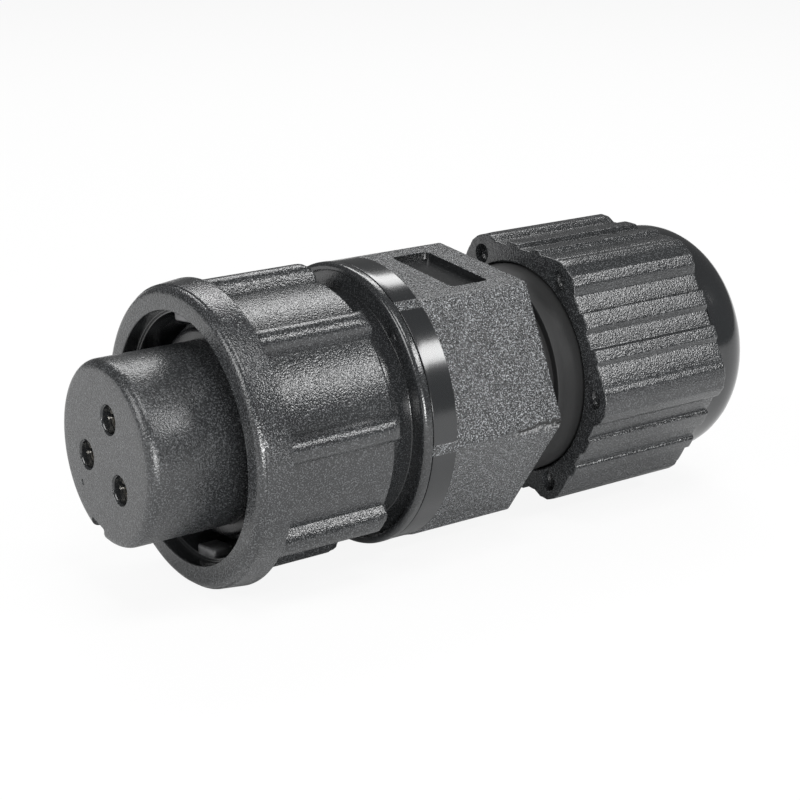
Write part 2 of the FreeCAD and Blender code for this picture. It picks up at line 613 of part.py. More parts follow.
def nut_section():
    """Outline of the gland nut: a hexagon with a broad rib at each corner and two low ribs on each side."""
    start, end = NUT_CORNER_SPAN
    crown = (start + end) / 2 - 1
    shoulder_r = NUT_CORNER_R - NUT_RIB_HEIGHT
    corners = []
    for side in range(6):
        clock = NUT_ANGLE - 60 * side
        corners.append(polar_corner(valley_radius(start + 60), clock - start + NUT_RIB_STEP))
        corners.append(polar_corner(shoulder_r, clock - start, NUT_RIB_FOOT_ROUND))
        corners.append(polar_corner(NUT_CORNER_R + NUT_CORNER_CROWN, clock - crown, NUT_CORNER_ROUND))
        corners.append(polar_corner(shoulder_r, clock - end + NUT_CORNER_SLOPE, NUT_CORNER_SLOPE_ROUND))
        corners.append(polar_corner(valley_radius(end), clock - end, NUT_RIB_FOOT_ROUND))
        for rib_start, rib_end in NUT_SIDE_RIBS:
            top_start = valley_radius(rib_start) + NUT_RIB_HEIGHT
            top_end = valley_radius(rib_end) + NUT_RIB_HEIGHT
            corners.append(polar_corner(valley_radius(rib_start), clock - rib_start + NUT_RIB_STEP))
            corners.append(polar_corner(top_start, clock - rib_start, NUT_RIB_EDGE_ROUND))
            corners.append(polar_corner(top_end, clock - rib_end + NUT_RIB_SLOPE, NUT_RIB_SLOPE_ROUND))
            corners.append(polar_corner(valley_radius(rib_end), clock - rib_end, NUT_RIB_FOOT_ROUND))
    return corners


def gland_nut():
    """Nut with a ribbed hexagonal grip and a smooth domed end with the cable hole."""
    grip = section_prism(nut_section(), NUT_X, DOME_X)
    envelope = turned([
        (NUT_X, 0), (NUT_X, NUT_CORNER_R + OVERCUT), (DOME_X - NUT_END_CHAMFER, NUT_CORNER_R + OVERCUT),
        (DOME_X, NUT_CORNER_R - NUT_END_CHAMFER), (DOME_X, 0),
    ])
    dome = turned([
        (DOME_X - OVERCUT, 0), (DOME_X - OVERCUT, DOME_R), (END_X, DOME_R, DOME_ROUND), (END_X, 0),
    ])
    cone_end_x = NUT_CONE_X + NUT_CONE_LENGTH
    bore = turned([
        (NUT_X - OVERCUT, 0), (NUT_X - OVERCUT, NUT_BORE_R), (NUT_SHOULDER_X, NUT_BORE_R),
        (NUT_SHOULDER_X, NUT_THROAT_R), (NUT_CONE_X, NUT_THROAT_R), (cone_end_x, CAGE_BORE_R),
        (cone_end_x, CABLE_R), (END_X, CABLE_R, CABLE_LIP_ROUND), (END_X, DOME_R), (END_X + OVERCUT, DOME_R),
        (END_X + OVERCUT, 0),
    ])
    nut = grip.common(envelope).fuse(dome).removeSplitter().cut(bore)
    for side in range(6):
        clock = NUT_ANGLE - 60 * side - NUT_DIMPLE_ANGLE
        centre = place(NUT_X - OVERCUT, NUT_DIMPLE_CIRCLE_R, clock)
        nut = nut.cut(Part.makeCylinder(NUT_DIMPLE_R, NUT_DIMPLE_DEPTH + OVERCUT, centre, AXIS))
    return nut


def save(name, shape):
    """Moves a piece to its place in the finished part and writes it."""
    piece = shape.copy()
    piece.translate(FreeCAD.Vector(-MIDDLE_X, 0, AXIS_HEIGHT))
    piece.exportStep("parts/" + name + ".step")
    print(name, "solids", len(piece.Solids), "valid", piece.isValid(), "volume", round(piece.Volume, 2))


def build():
    save("main_body", main_body())
    save("coupling_ring", coupling_ring())
    save("contact_carrier", contact_carrier())
    for number, clock in enumerate(CONTACT_ANGLES, start=1):
        save("socket_contact_" + str(number), socket_contact(clock))
        save("terminal_screw_" + str(number), terminal_screw(clock))
    save("rear_insulator", rear_insulator())
    save("carrier_screw", carrier_screw())
    save("carrier_lock_ring", carrier_lock_ring())
    save("face_seal", face_seal())
    save("core_o_ring", core_o_ring())
    save("ring_clip", ring_clip())
    save("wave_washer", wave_washer())
    save("gland_seal", gland_seal())
    save("clamping_cage", clamping_cage())
    save("slip_washer", slip_washer())
    save("gland_nut", gland_nut())
    print("length", round(END_X - INSERT_FACE_X, 2), "axis height", AXIS_HEIGHT)
    print("nut holds", round(NECK_END_X - NUT_X, 2), "mm of thread, and tightens by", round(NUT_TIGHTEN, 3))


build()
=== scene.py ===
"""Looks of an inline cable socket on its side: fine meshes, moulded finishes, floor, lamps and camera.

Meshes are worked out in millimetres. A station is a distance along the socket's axis from the front edge of
the coupling ring's rim towards the cable end. A clock angle is seen from the mating end: 0 towards -Y, 90 up.
"""
import math

import bpy
import numpy as np
from bpy.props import FloatProperty, FloatVectorProperty, IntProperty, PointerProperty
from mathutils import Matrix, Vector


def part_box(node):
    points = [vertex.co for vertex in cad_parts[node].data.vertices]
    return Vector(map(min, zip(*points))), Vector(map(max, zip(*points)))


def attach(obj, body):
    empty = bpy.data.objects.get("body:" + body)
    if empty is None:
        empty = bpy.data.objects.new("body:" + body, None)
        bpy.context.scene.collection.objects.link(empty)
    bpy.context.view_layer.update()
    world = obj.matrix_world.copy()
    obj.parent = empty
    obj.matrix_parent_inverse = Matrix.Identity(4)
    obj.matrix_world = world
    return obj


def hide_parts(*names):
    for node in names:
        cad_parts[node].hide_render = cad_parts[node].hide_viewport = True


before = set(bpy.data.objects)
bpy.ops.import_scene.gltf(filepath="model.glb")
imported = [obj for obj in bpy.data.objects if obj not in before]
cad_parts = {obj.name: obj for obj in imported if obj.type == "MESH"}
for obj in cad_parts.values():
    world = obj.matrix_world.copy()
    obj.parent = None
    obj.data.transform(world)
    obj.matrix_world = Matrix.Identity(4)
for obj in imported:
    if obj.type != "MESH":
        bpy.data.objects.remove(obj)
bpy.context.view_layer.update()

bl_info = {
    "name": "Inline cable socket",
    "version": (1, 0, 0),
    "blender": (4, 5, 0),
    "location": "View3D > Sidebar > Socket",
    "description": "Builds the looks of a moulded inline cable socket round its solid model",
    "category": "Object",
}

# Places read from the solid model: corners in metres, stations and radii in millimetres
MM = 0.001
RING_LOW, RING_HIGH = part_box("coupling_ring")
BODY_LOW, BODY_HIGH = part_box("main_body")
NUT_LOW, NUT_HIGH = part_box("gland_nut")
INSERT_LOW, INSERT_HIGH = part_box("contact_carrier")
SEAL_LOW, SEAL_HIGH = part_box("face_seal")
AXIS_Z = (RING_LOW.z + RING_HIGH.z) / 2
FACE_PROUD = 0.6
RIM_X = RING_LOW.x + FACE_PROUD * MM


def station_of(row_x):
    """Station in millimetres of a row X in metres."""
    return (row_x - RIM_X) / MM


RIM_R = (RING_HIGH.z - RING_LOW.z) / 2 / MM
RING_REAR = station_of(RING_HIGH.x)
NOSE_FRONT = station_of(BODY_LOW.x)
NECK_END = station_of(BODY_HIGH.x)
NUT_FRONT = station_of(NUT_LOW.x)
NUT_REAR = station_of(NUT_HIGH.x)
INSERT_FACE = station_of(INSERT_LOW.x)
SEAL_FRONT = station_of(SEAL_LOW.x)
SEAL_R = (SEAL_HIGH.z - SEAL_LOW.z) / 2 / MM

# Coupling ring
RIM_LENGTH = 2.6
RIM_DRAFT = 0.4
RIM_ROUND = 0.75
RIM_LINE = 0.1
MOUTH_R = 11.8
MOUTH_END = 0.9
RING_BORE_R = 11.4
WEB_BORE_R = 10.48
WEB_FRONT = 9.4
WEB_REAR = 12.6
POCKET_R = 11.5
GRIP_R = 12.5
RIB_COUNT = 8
RIB_CLOCK = 97.5
RIB_ROUND = 1.3
RIB_TOP_R = 14.05
RIB_BLEND = 0.14
RIB_END_ROUND = 1.2
LUG_CLOCK = 97.5
LUG_WIDTH = 3.1
LUG_LENGTH = 2.2
LUG_TOP_R = 10.5
LUG_EDGE = 0.28
RING_MORE_TURNS = 60
RIM_WOBBLE = 0.035
SCUFF_STATION = 0.05
SCUFF_CLOCK = 12.3
SCUFF_LENGTH = 0.42
SCUFF_ANGLE = 4.2
SCUFF_INNER_R = 13.2

# Insert and the seal round its foot
INSERT_R = 8.6
INSERT_CORE_R = 0.4
INSERT_ROUND = 0.95
INSERT_FOOT = 2.4
INSERT_FOOT_R = 8.35
INSERT_FLANGE_R = 9.5
INSERT_FLANGE = 4.85
INSERT_SEAT = 6.35
KEYWAY_CLOCK = 255.0
KEYWAY_WIDTH = 2.4
KEYWAY_DEPTH = 1.3
KEYWAY_EDGE = 0.25
HOLE_R = 1.28
HOLE_MOUTH_R = 1.45
HOLE_PITCH_R = 3.65
HOLE_CLOCK = 75.0
INSERT_DOT_R = 6.0
INSERT_DOT_CLOCK = 220.5
INSERT_TURNS = 200
SEAL_TURNS = 180

# One side of a hexagon, in degrees
SIDE = 60.0

# Main body
NOSE_R = 10.4
NOSE_BORE_R = 9.55
COLLAR_FRONT = 12.65
COLLAR_R = 11.2
FLANGE_FRONT = 17.0
FLANGE_STEP = 0.4
FLANGE_R = 13.7
FLANGE_LAND_R = 12.95
FLANGE_REAR = 17.9
BAND_FRONT = 18.05
BAND_REAR = 20.65
BAND_R = 13.65
BAND_FOOT_R = 13.53
STRIP_ANGLE = 1.95
HEX_APOTHEM = 12.0
HEX_CLOCK = 85.0
HEX_REAR = 33.2
HEX_CORNER_R = 13.8
HEX_SOFT = 0.03
PANEL_FRONT = 25.8
PANEL_REAR = 30.1
PANEL_WIDTH = 9.8
PANEL_DEPTH = 0.7
PANEL_ROUND = 0.55
NECK_ROOT_R = 9.9
NECK_R = 10.6
THREAD_START = 35.3
THREAD_LEAD = 2.4
GROOVE_SHARE = 0.62
GROOVE_SLOPE = 0.34
BODY_BORE_R = 8.55
GLAND_BORE_R = 8.2
STOP_FRONT = 39.6
STOP_REAR = 41.0
STOP_R = 5.2
CHIP_CLOCK = -6.0
CHIP_ANGLE = 2.4
CHIP_START = 26.6
EJECTOR_CIRCLE_R = 11.75
EJECTOR_CLOCK = 46.0
BODY_STEP = 0.65

# Gland nut; its ear and ribs are given by the angles past a corner where they begin and end
NUT_CLOCK = 60.0
NUT_R = 14.0
NUT_APOTHEM = 12.3
NUT_RIB = 0.4
EAR_START = -4.8
EAR_END = 14.0
RIB_ANGLES = ((22.4, 31.7), (39.6, 46.7))
RIB_RISE = 0.6
RIB_FALL = 2.0
NUT_BLUR = 0.2
GRIP_REAR = 54.6
DOME_R = 12.1
DOME_ROUND = 4.5
CABLE_R = 4.9
NUT_BORE_R = 10.68
NUT_GROOVE = 0.35
NUT_SHOULDER = 49.8
THROAT_R = 8.85
CONE_START = 54.2
CONE_END = 58.8
CONE_R = 6.6
DIMPLE_R = 1.02
DIMPLE_CIRCLE_R = 12.1
DIMPLE_CLOCK = 58.0
DIMPLE_DEPTH = 1.0
FLASH_FROM_R = 11.4
FLASH_LENGTH = 0.7
NUT_STEP = 1.1
NUT_TURNS = 0.6

# Finishes: grains a millimetre, roughness where polished, refraction, and colours
GRAIN = 7.0
POLISHED = 0.12
NYLON_IOR = 1.58
DUST = (0.30, 0.31, 0.32, 1.0)
TORN_GREY = (0.30, 0.30, 0.30, 1.0)
CRACK_BLACK = (0.002, 0.002, 0.002, 1.0)
LUG_GREY = (0.16, 0.16, 0.165, 1.0)
SCUFF_GREY = (0.55, 0.55, 0.56, 1.0)
RUBBER = (0.012, 0.012, 0.013, 1.0)
BLOOM = (0.045, 0.045, 0.047, 1.0)
WHITE = (1.0, 1.0, 1.0, 1.0)

# The photograph's camera: rim centre's pixel, focal length in pixels, and distance
PHOTO_SIZE = 800
RIM_PIXEL = (185.2, 437.7)
FOCAL_PIXELS = 1977.6
CAMERA_AZIMUTH = math.radians(-35.67)
CAMERA_ELEVATION = math.radians(17.79)
CAMERA_DISTANCE = 179.8
SENSOR = 36.0

# Soft boxes: azimuth and elevation in degrees, distance, width and height in metres, and watts
SOFT_BOXES = {
    "left_box": (-88, 28, 0.40, 0.19, 0.21, 0.8),
    "side_box": (41, 37, 0.45, 0.14, 0.10, 0.7),
    "back_box": (150, 48, 0.45, 0.32, 0.10, 0.9),
    "top_box": (-10, 68, 0.50, 0.22, 0.18, 1.0),
    "low_box": (-20, 5, 0.45, 0.30, 0.06, 1.6),
}
FLOOR_HALF = 1.2
FLOOR_GLOW = 0.9


class SocketSizes(bpy.types.PropertyGroup):
    """Sizes that set how finely the pieces are drawn and how deep their moulded details are."""
    turns: IntProperty(name="Round steps", default=300, min=96,
                       description="Steps round the body. The ring has more and the nut has fewer")
    step: FloatProperty(name="Length step", description="Longest step along the ring and the seal",
                        default=0.0005, min=0.0001, precision=5, unit="LENGTH")
    thread_depth: FloatProperty(name="Thread depth", description="Depth of the neck's thread",
                                default=0.00012, min=0.0, precision=5, unit="LENGTH")
    chip_depth: FloatProperty(name="Chip depth", description="Depth of the broken edge of the hexagon",
                              default=0.00045, min=0.0, precision=5, unit="LENGTH")
    flash: FloatProperty(name="Mould flash", description="Unevenness of the nut's front edge",
                         default=0.00012, min=0.0, precision=5, unit="LENGTH")


class SocketLooks(bpy.types.PropertyGroup):
    """Colours of the moulded nylon, of its painted glint specks and of the floor, and the strength of the
    light.
    """
    nylon: FloatVectorProperty(name="Nylon", description="Colour of the moulded black nylon", subtype="COLOR",
                               size=3, min=0.0, max=1.0, default=(0.016, 0.017, 0.018))
    # Colour of the painted glints: lit specks painted into the grain's colour in place of the glints of its
    # facets
    glint_paint: FloatVectorProperty(name="Painted glints", description="Colour of the grain's lit specks",
                               subtype="COLOR", size=3, min=0.0, max=1.0, default=(0.250, 0.260, 0.270))
    floor: FloatVectorProperty(name="Floor", description="Colour of the pale floor", subtype="COLOR",
                               size=3, min=0.0, max=1.0, default=(0.90, 0.90, 0.90))
    light: FloatProperty(name="Light", description="Strength of the soft boxes", default=1.0, min=0.0,
                         unit="POWER")
    room: FloatProperty(name="Room light", description="Strength of the light from all round", default=0.14,
                        min=0.0, max=1.0, subtype="FACTOR")


def sizes():
    """The scene's SocketSizes."""
    return bpy.context.scene.socket_sizes


def looks():
    """The scene's SocketLooks."""
    return bpy.context.scene.socket_looks


# Shader maths

class Value:
    """A number socket of a node tree, on which arithmetic adds Math nodes."""

    def __init__(self, nodes, socket):
        self.nodes = nodes
        self.socket = socket

    def _with(self, operation, *terms):
        return self.nodes.add("ShaderNodeMath", {"operation": operation}, dict(enumerate(terms))).value()

    def __add__(self, other):
        return self._with("ADD", self, other)

    __radd__ = __add__

    def __sub__(self, other):
        return self._with("SUBTRACT", self, other)

    def __rsub__(self, other):
        return self._with("SUBTRACT", other, self)

    def __mul__(self, other):
        return self._with("MULTIPLY", self, other)

    __rmul__ = __mul__

    def __truediv__(self, other):
        return self._with("DIVIDE", self, other)

    def __rtruediv__(self, other):
        return self._with("DIVIDE", other, self)

    def __neg__(self):
        return self._with("MULTIPLY", self, -1.0)

    def absolute(self):
        return self._with("ABSOLUTE", self)

    def root(self):
        return self._with("SQRT", self)

    def wrapped(self, low, high):
        return self._with("WRAP", self, high, low)

    def angle_from(self, across):
        return self._with("ARCTAN2", self, across)

    def larger(self, other):
        return self._with("MAXIMUM", self, other)

    def ramp(self, low, high):
        """0 below low, 1 above high, smooth between."""
        node = self.nodes.add("ShaderNodeMapRange", {"interpolation_type": "SMOOTHSTEP", "clamp": True},
                              {"Value": self, "From Min": low, "From Max": high})
        return node.value("Result")


class Added:
    """A node that was added, from which sockets are taken."""

    def __init__(self, nodes, node):
        self.nodes = nodes
        self.node = node

    def value(self, name=0):
        return Value(self.nodes, self.node.outputs[name])

    def socket(self, name=0):
        return self.node.outputs[name]


class Nodes:
    """A node tree, with one method that adds any node."""

    def __init__(self, tree):
        self.tree = tree

    def add(self, kind, settings=None, inputs=None):
        node = self.tree.nodes.new(kind)
        for key, setting in (settings or {}).items():
            setattr(node, key, setting)
        for key, given in (inputs or {}).items():
            self.feed(node.inputs[key], given)
        return Added(self, node)

    def feed(self, socket, given):
        if isinstance(given, Value):
            self.tree.links.new(given.socket, socket)
        elif isinstance(given, bpy.types.NodeSocket):
            self.tree.links.new(given, socket)
        else:
            socket.default_value = given


class Shader(Nodes):
    """A material's node tree."""

    def __init__(self, name):
        self.material = bpy.data.materials.new(name)
        self.material.use_nodes = True
        super().__init__(self.material.node_tree)
        self.surface = self.tree.nodes["Principled BSDF"]

    def set(self, name, given):
        self.feed(self.surface.inputs[name], given)

    def spot(self):
        """Object coordinates, in metres."""
        return self.add("ShaderNodeTexCoord").socket("Object")

    def place(self):
        """Object coordinates and their parts."""
        spot = self.spot()
        parts = self.add("ShaderNodeSeparateXYZ", {}, {0: spot})
        return spot, parts.value("X"), parts.value("Y"), parts.value("Z")

    def noise(self, spot, grains_per_mm, detail, rough):
        node = self.add("ShaderNodeTexNoise", {"noise_dimensions": "3D"},
                        {"Vector": spot, "Scale": grains_per_mm / MM, "Detail": detail, "Roughness": rough})
        return node.value("Fac")

    def blend(self, factor, first, second):
        node = self.add("ShaderNodeMix", {"data_type": "RGBA"})
        self.feed(node.node.inputs["Factor"], factor)
        colours = [socket for socket in node.node.inputs if socket.type == "RGBA"]
        self.feed(colours[0], first)
        self.feed(colours[1], second)
        return next(socket for socket in node.node.outputs if socket.type == "RGBA")

    def bump(self, height, distance):
        return self.add("ShaderNodeBump", {}, {"Height": height, "Distance": distance}).socket("Normal")


def tinted(colour, share=1.0):
    """A colour times a share, as an opaque one."""
    return (colour[0] * share, colour[1] * share, colour[2] * share, 1.0)


def clock_of(across, up):
    """Clock angle in degrees of a point, worked out in the shader."""
    height = up - AXIS_Z
    return height.angle_from(0 - across) * math.degrees(1)


def radius_of(across, up):
    """Distance of a point from the axis in metres, worked out in the shader."""
    height = up - AXIS_Z
    return (across * across + height * height).root()


def from_station(along, low, high):
    """0 before the low station and 1 past the high one."""
    return along.ramp(RIM_X + low * MM, RIM_X + high * MM)


def from_radius(across, up, low, high):
    """0 inside the low radius and 1 outside the high one."""
    return radius_of(across, up).ramp(low * MM, high * MM)


def nylon_material(name, depth, rough, glint_specks, grain=GRAIN, polish=POLISHED, gloss=None, extra=None):
    """Moulded black nylon: spark-eroded grain whose facets' glints are painted into its colour as lit specks,
    and polished where gloss gives 1.
    """
    shader = Shader(name)
    spot, along, across, up = shader.place()
    fine = shader.noise(spot, grain, 1.0, 0.4)
    coarse = shader.noise(spot, grain * 0.6, 1.0, 0.4)
    finer = shader.noise(spot, grain * 1.3, 1.0, 0.4)
    broad = shader.noise(spot, 0.12, 2.0, 0.5)
    dust = shader.noise(spot, 1.1, 2.0, 0.5).ramp(0.80, 0.83) * 0.6
    grainy = fine * 0.6 + coarse * 0.4
    height = grainy
    # light is the share of painted glint specks in the colour, plus a faint broad tone; where gloss gives 1
    # they are left out
    light = (fine * finer).ramp(0.27, 0.36) * (0.70 * glint_specks) + broad.ramp(0.35, 0.75) * 0.02
    roughness = rough + grainy * 0.24 - 0.12
    if gloss is not None:
        keep = 1 - gloss(along, across, up)
        height = height * (keep * 0.99 + 0.01)
        light = light * keep
        roughness = polish + (roughness - polish) * keep
    colour = shader.blend(light, tinted(looks().nylon), tinted(looks().glint_paint))
    colour = shader.blend(dust, colour, DUST)
    if extra is not None:
        colour, roughness = extra(shader, spot, along, across, up, colour, roughness)
    shader.set("Base Color", colour)
    shader.set("Roughness", roughness)
    shader.set("Normal", shader.bump(height, depth * MM))
    shader.set("IOR", NYLON_IOR)
    return shader.material


def ring_gloss(along, across, up):
    """Inside of the coupling ring: smoother than its grained outside."""
    return (1 - from_radius(across, up, MOUTH_R - 0.02, MOUTH_R + 0.12)) * 0.9


def hole_gloss(along, across, up):
    """1 inside the insert's contact holes, which are smooth."""
    round_holes = HOLE_PITCH_R + HOLE_MOUTH_R + 0.5
    inside = from_station(along, INSERT_FACE + 0.02, INSERT_FACE + 0.12)
    return inside * (1 - from_radius(across, up, round_holes, round_holes + 0.3))


def dome_gloss(along, across, up):
    """1 on the nut's smooth dome."""
    return from_station(along, GRIP_REAR - 0.06, GRIP_REAR + 0.06)


def neck_part(along):
    """1 on the neck, behind the hexagon."""
    return from_station(along, HEX_REAR + 0.02, HEX_REAR + 0.1)


def panel_sunk(along, across, up):
    """1 inside the sunk panel of the top flat."""
    lean = math.radians(HEX_CLOCK)
    height = up - AXIS_Z
    out = height * math.sin(lean) - across * math.cos(lean)
    aside = (height * math.cos(lean) + across * math.sin(lean)).absolute()
    bottom = HEX_APOTHEM - PANEL_DEPTH
    half = PANEL_WIDTH / 2
    depth = out.ramp((bottom - 0.2) * MM, (bottom - 0.1) * MM)
    depth = depth * (1 - out.ramp((HEX_APOTHEM - 0.12) * MM, (HEX_APOTHEM - 0.03) * MM))
    width = 1 - aside.ramp((half + 0.2) * MM, (half + 0.3) * MM)
    length = from_station(along, PANEL_FRONT - 0.3, PANEL_FRONT - 0.2)
    length = length * (1 - from_station(along, PANEL_REAR + 0.2, PANEL_REAR + 0.3))
    return depth * width * length


def band_gloss(along, across, up):
    """1 on the polished band between the hexagon's corner strips, less on the flange, neck and panel."""
    on_band = from_station(along, BAND_FRONT - 0.05, BAND_FRONT)
    on_band = on_band * (1 - from_station(along, BAND_REAR - 0.02, BAND_REAR + 0.02))
    corner = (clock_of(across, up) - (HEX_CLOCK - SIDE / 2)).wrapped(-SIDE / 2, SIDE / 2).absolute()
    between = corner.ramp(STRIP_ANGLE, STRIP_ANGLE + 0.4)
    flange = 1 - from_station(along, FLANGE_REAR - 0.02, FLANGE_REAR + 0.04)
    polished = (on_band * between).larger(flange * 0.85).larger(neck_part(along) * 0.92)
    return polished.larger(panel_sunk(along, across, up) * 0.85)


def body_shade_and_marks(shader, spot, along, across, up, colour, roughness):
    """Painted shade that darkens the neck between the hexagon and nut and the sunk panel, and the crack with
    torn edges on the hexagon's lower front edge.
    """
    neck = neck_part(along)
    # Painted shade: the neck and the sunk panel are coloured darker, as shade in these recesses
    painted_shade = neck.larger(panel_sunk(along, across, up) * 0.6)
    colour = shader.blend(painted_shade, colour, tinted(looks().nylon, 0.25))
    wander = (shader.noise(spot, 0.7, 3.0, 0.7) - 0.5) * 9
    beside = clock_of(across, up) - (CHIP_CLOCK + 1.2) + wander
    length = from_station(along, CHIP_START + 0.8, CHIP_START + 1.6) * (1 - neck)
    torn = (1 - (beside + 1.9).absolute().ramp(0.6, 1.8)) * length
    torn = torn * shader.noise(spot, 3.6, 2.0, 0.6).ramp(0.46, 0.56)
    crack = (1 - beside.absolute().ramp(0.45, 1.0)) * length
    colour = shader.blend(torn * 0.7, colour, TORN_GREY)
    return shader.blend(crack, colour, CRACK_BLACK), roughness + (crack + torn) * 0.4 + neck * 0.5


def lug_grey_patches(shader, spot, along, across, up, colour, roughness):
    """Patchy lighter grey of the bayonet lugs."""
    lighter_share = shader.noise(spot, 0.9, 2.0, 0.5).ramp(0.3, 0.7) * 0.4 + 0.5
    return shader.blend(lighter_share, colour, LUG_GREY), roughness


def ring_scuff(shader, spot, along, across, up, colour, roughness):
    """Pale scuff on the rim's front edge."""
    beside = (along - (RIM_X + SCUFF_STATION * MM)) * (1 / (SCUFF_LENGTH * MM))
    round_it = (clock_of(across, up) - SCUFF_CLOCK) * (1 / SCUFF_ANGLE)
    near = 1 - (beside * beside + round_it * round_it).root().ramp(0.35, 1.0)
    torn = shader.noise(spot, 4.5, 3.0, 0.7).ramp(0.54, 0.60)
    amount = near * torn * from_radius(across, up, SCUFF_INNER_R, SCUFF_INNER_R + 0.4)
    return shader.blend(amount, colour, SCUFF_GREY), roughness + amount * 0.2


def metal_material(name, colour, rough):
    """Plated turned metal with fine turning marks and a little tarnish."""
    shader = Shader(name)
    spot = shader.spot()
    marks = shader.noise(spot, 3.5, 3.0, 0.6)
    tarnish = shader.noise(spot, 0.7, 2.0, 0.5).ramp(0.4, 0.8)
    shader.set("Base Color", shader.blend(tarnish * 0.4, tinted(colour), tinted(colour, 0.55)))
    shader.set("Metallic", 1.0)
    shader.set("Roughness", rough + marks * 0.15)
    shader.set("Normal", shader.bump(marks, 0.006 * MM))
    return shader.material


def rubber_material(name):
    """Smooth black rubber with faint bloom."""
    shader = Shader(name)
    spot = shader.spot()
    bloom = shader.noise(spot, 0.5, 3.0, 0.55).ramp(0.45, 0.85)
    fine = shader.noise(spot, 4.0, 2.0, 0.5)
    shader.set("Base Color", shader.blend(bloom * 0.25, RUBBER, BLOOM))
    shader.set("Roughness", 0.24 + bloom * 0.14)
    shader.set("Normal", shader.bump(fine, 0.004 * MM))
    return shader.material


# Mesh building

def row_points(stations, radii, clocks):
    """Row-frame points in metres from stations, radii and clock angles."""
    angle = np.radians(clocks)
    across = -radii * np.cos(angle) * MM
    up = AXIS_Z + radii * np.sin(angle) * MM
    return np.stack([RIM_X + stations * MM, across, up], axis=-1)


def rounded_outline(corners, step, closed=True, bends=7):
    """Points along an outline of (station, radius, rounding) corners, no further apart than step."""
    flat = [np.array(corner[:2], float) for corner in corners]
    count = len(flat)
    stretches = []
    for index, corner in enumerate(corners):
        here = flat[index]
        rounding = corner[2] if len(corner) > 2 else 0.0
        end = not closed and index in (0, count - 1)
        if rounding <= 0 or end:
            stretches.append([here])
            continue
        back = flat[index - 1] - here
        ahead = flat[(index + 1) % count] - here
        back = back / np.linalg.norm(back)
        ahead = ahead / np.linalg.norm(ahead)
        half = math.acos(np.clip(back @ ahead, -1, 1)) / 2
        reach = rounding / math.tan(half)
        middle = (back + ahead) / np.linalg.norm(back + ahead)
        centre = here + middle * (rounding / math.sin(half))
        start = here + back * reach - centre
        finish = here + ahead * reach - centre
        span = math.acos(np.clip(start @ finish / rounding ** 2, -1, 1))
        arc = []
        for bend in range(bends + 1):
            share = bend / bends
            point = (math.sin((1 - share) * span) * start + math.sin(share * span) * finish) / math.sin(span)
            arc.append(centre + point)
        stretches.append(arc)
    points = []
    for index, stretch in enumerate(stretches):
        points.extend(stretch)
        if not closed and index == count - 1:
            break
        leave = stretch[-1]
        arrive = stretches[(index + 1) % count][0]
        pieces = int(math.ceil(np.linalg.norm(arrive - leave) / step))
        for piece in range(1, pieces):
            points.append(leave + (arrive - leave) * piece / pieces)
    return np.array(points)


def clock_steps(count, sharp=(), spread=1.2):
    """Clock angles round a piece, with extra ones near the sharp angles."""
    count = int(count)
    angles = list(np.arange(count) * 360.0 / count)
    for angle in sharp:
        for offset in (-1.0, -0.35, 0.0, 0.35, 1.0):
            angles.append(angle + offset * spread)
    angles = np.sort(np.mod(np.array(angles), 360.0))
    keep = np.concatenate([[True], np.diff(angles) > 0.03])
    return angles[keep]


def add_object(name, data):
    """New object at the origin, linked to the scene."""
    added = bpy.data.objects.new(name, data)
    bpy.context.scene.collection.objects.link(added)
    return added


def new_piece(name, points, faces):
    mesh = bpy.data.meshes.new(name)
    mesh.from_pydata(points.tolist(), [], faces)
    mesh.validate()
    return add_object(name, mesh)


def closed_piece(name, points, faces):
    """New piece whose faces all point outwards."""
    return new_piece(name, points, outward(points - points.mean(axis=0), faces))


def smooth(piece, degrees=32):
    """Smooth shading with sharp edges past an angle."""
    mesh = piece.data
    mesh.polygons.foreach_set("use_smooth", [True] * len(mesh.polygons))
    mesh.set_sharp_from_angle(angle=math.radians(degrees))
    mesh.update()
    return piece


def tube_faces(rows, steps, closed=False):
    """Faces between rows of points. The last row meets the first if closed, else both get a cap."""
    faces = []
    for row in range(rows if closed else rows - 1):
        here = row * steps
        ahead = (row + 1) % rows * steps
        for turn in range(steps):
            beside = (turn + 1) % steps
            faces.append((here + turn, here + beside, ahead + beside, ahead + turn))
    if not closed:
        faces.append(tuple(reversed(range(steps))))
        faces.append(tuple(range((rows - 1) * steps, rows * steps)))
    return faces


def turned_piece(name, outline, clocks, shape=None, closed=True):
    """Mesh from an outline turned round the axis. shape(station, radius, clock) may change the places."""
    stations, angles = np.meshgrid(outline[:, 0], clocks, indexing="ij")
    radii = np.repeat(outline[:, 1:], len(clocks), axis=1)
    if shape is not None:
        stations, radii = shape(stations, radii, angles)
    points = row_points(stations, radii, angles).reshape(-1, 3)
    return closed_piece(name, points, tube_faces(*angles.shape, closed))


def outward(points, faces):
    """The faces, turned round if they enclose a negative volume."""
    quads = np.array([face for face in faces if len(face) == 4])
    first, second, third, fourth = (points[quads[:, corner]] for corner in range(4))
    volume = np.einsum("ij,ij->i", first, np.cross(second, third)).sum()
    volume += np.einsum("ij,ij->i", first, np.cross(third, fourth)).sum()
    for face in faces:
        if len(face) == 4:
            continue
        corners = points[list(face)]
        fans = np.cross(corners[1:-1], corners[2:])
        volume += (fans @ corners[0]).sum()
    if volume >= 0:
        return faces
    return [tuple(reversed(face)) for face in faces]


def settle(piece):
    """Applies a piece's modifiers by taking its evaluated mesh."""
    graph = bpy.context.evaluated_depsgraph_get()
    mesh = bpy.data.meshes.new_from_object(piece.evaluated_get(graph))
    piece.modifiers.clear()
    piece.data = mesh


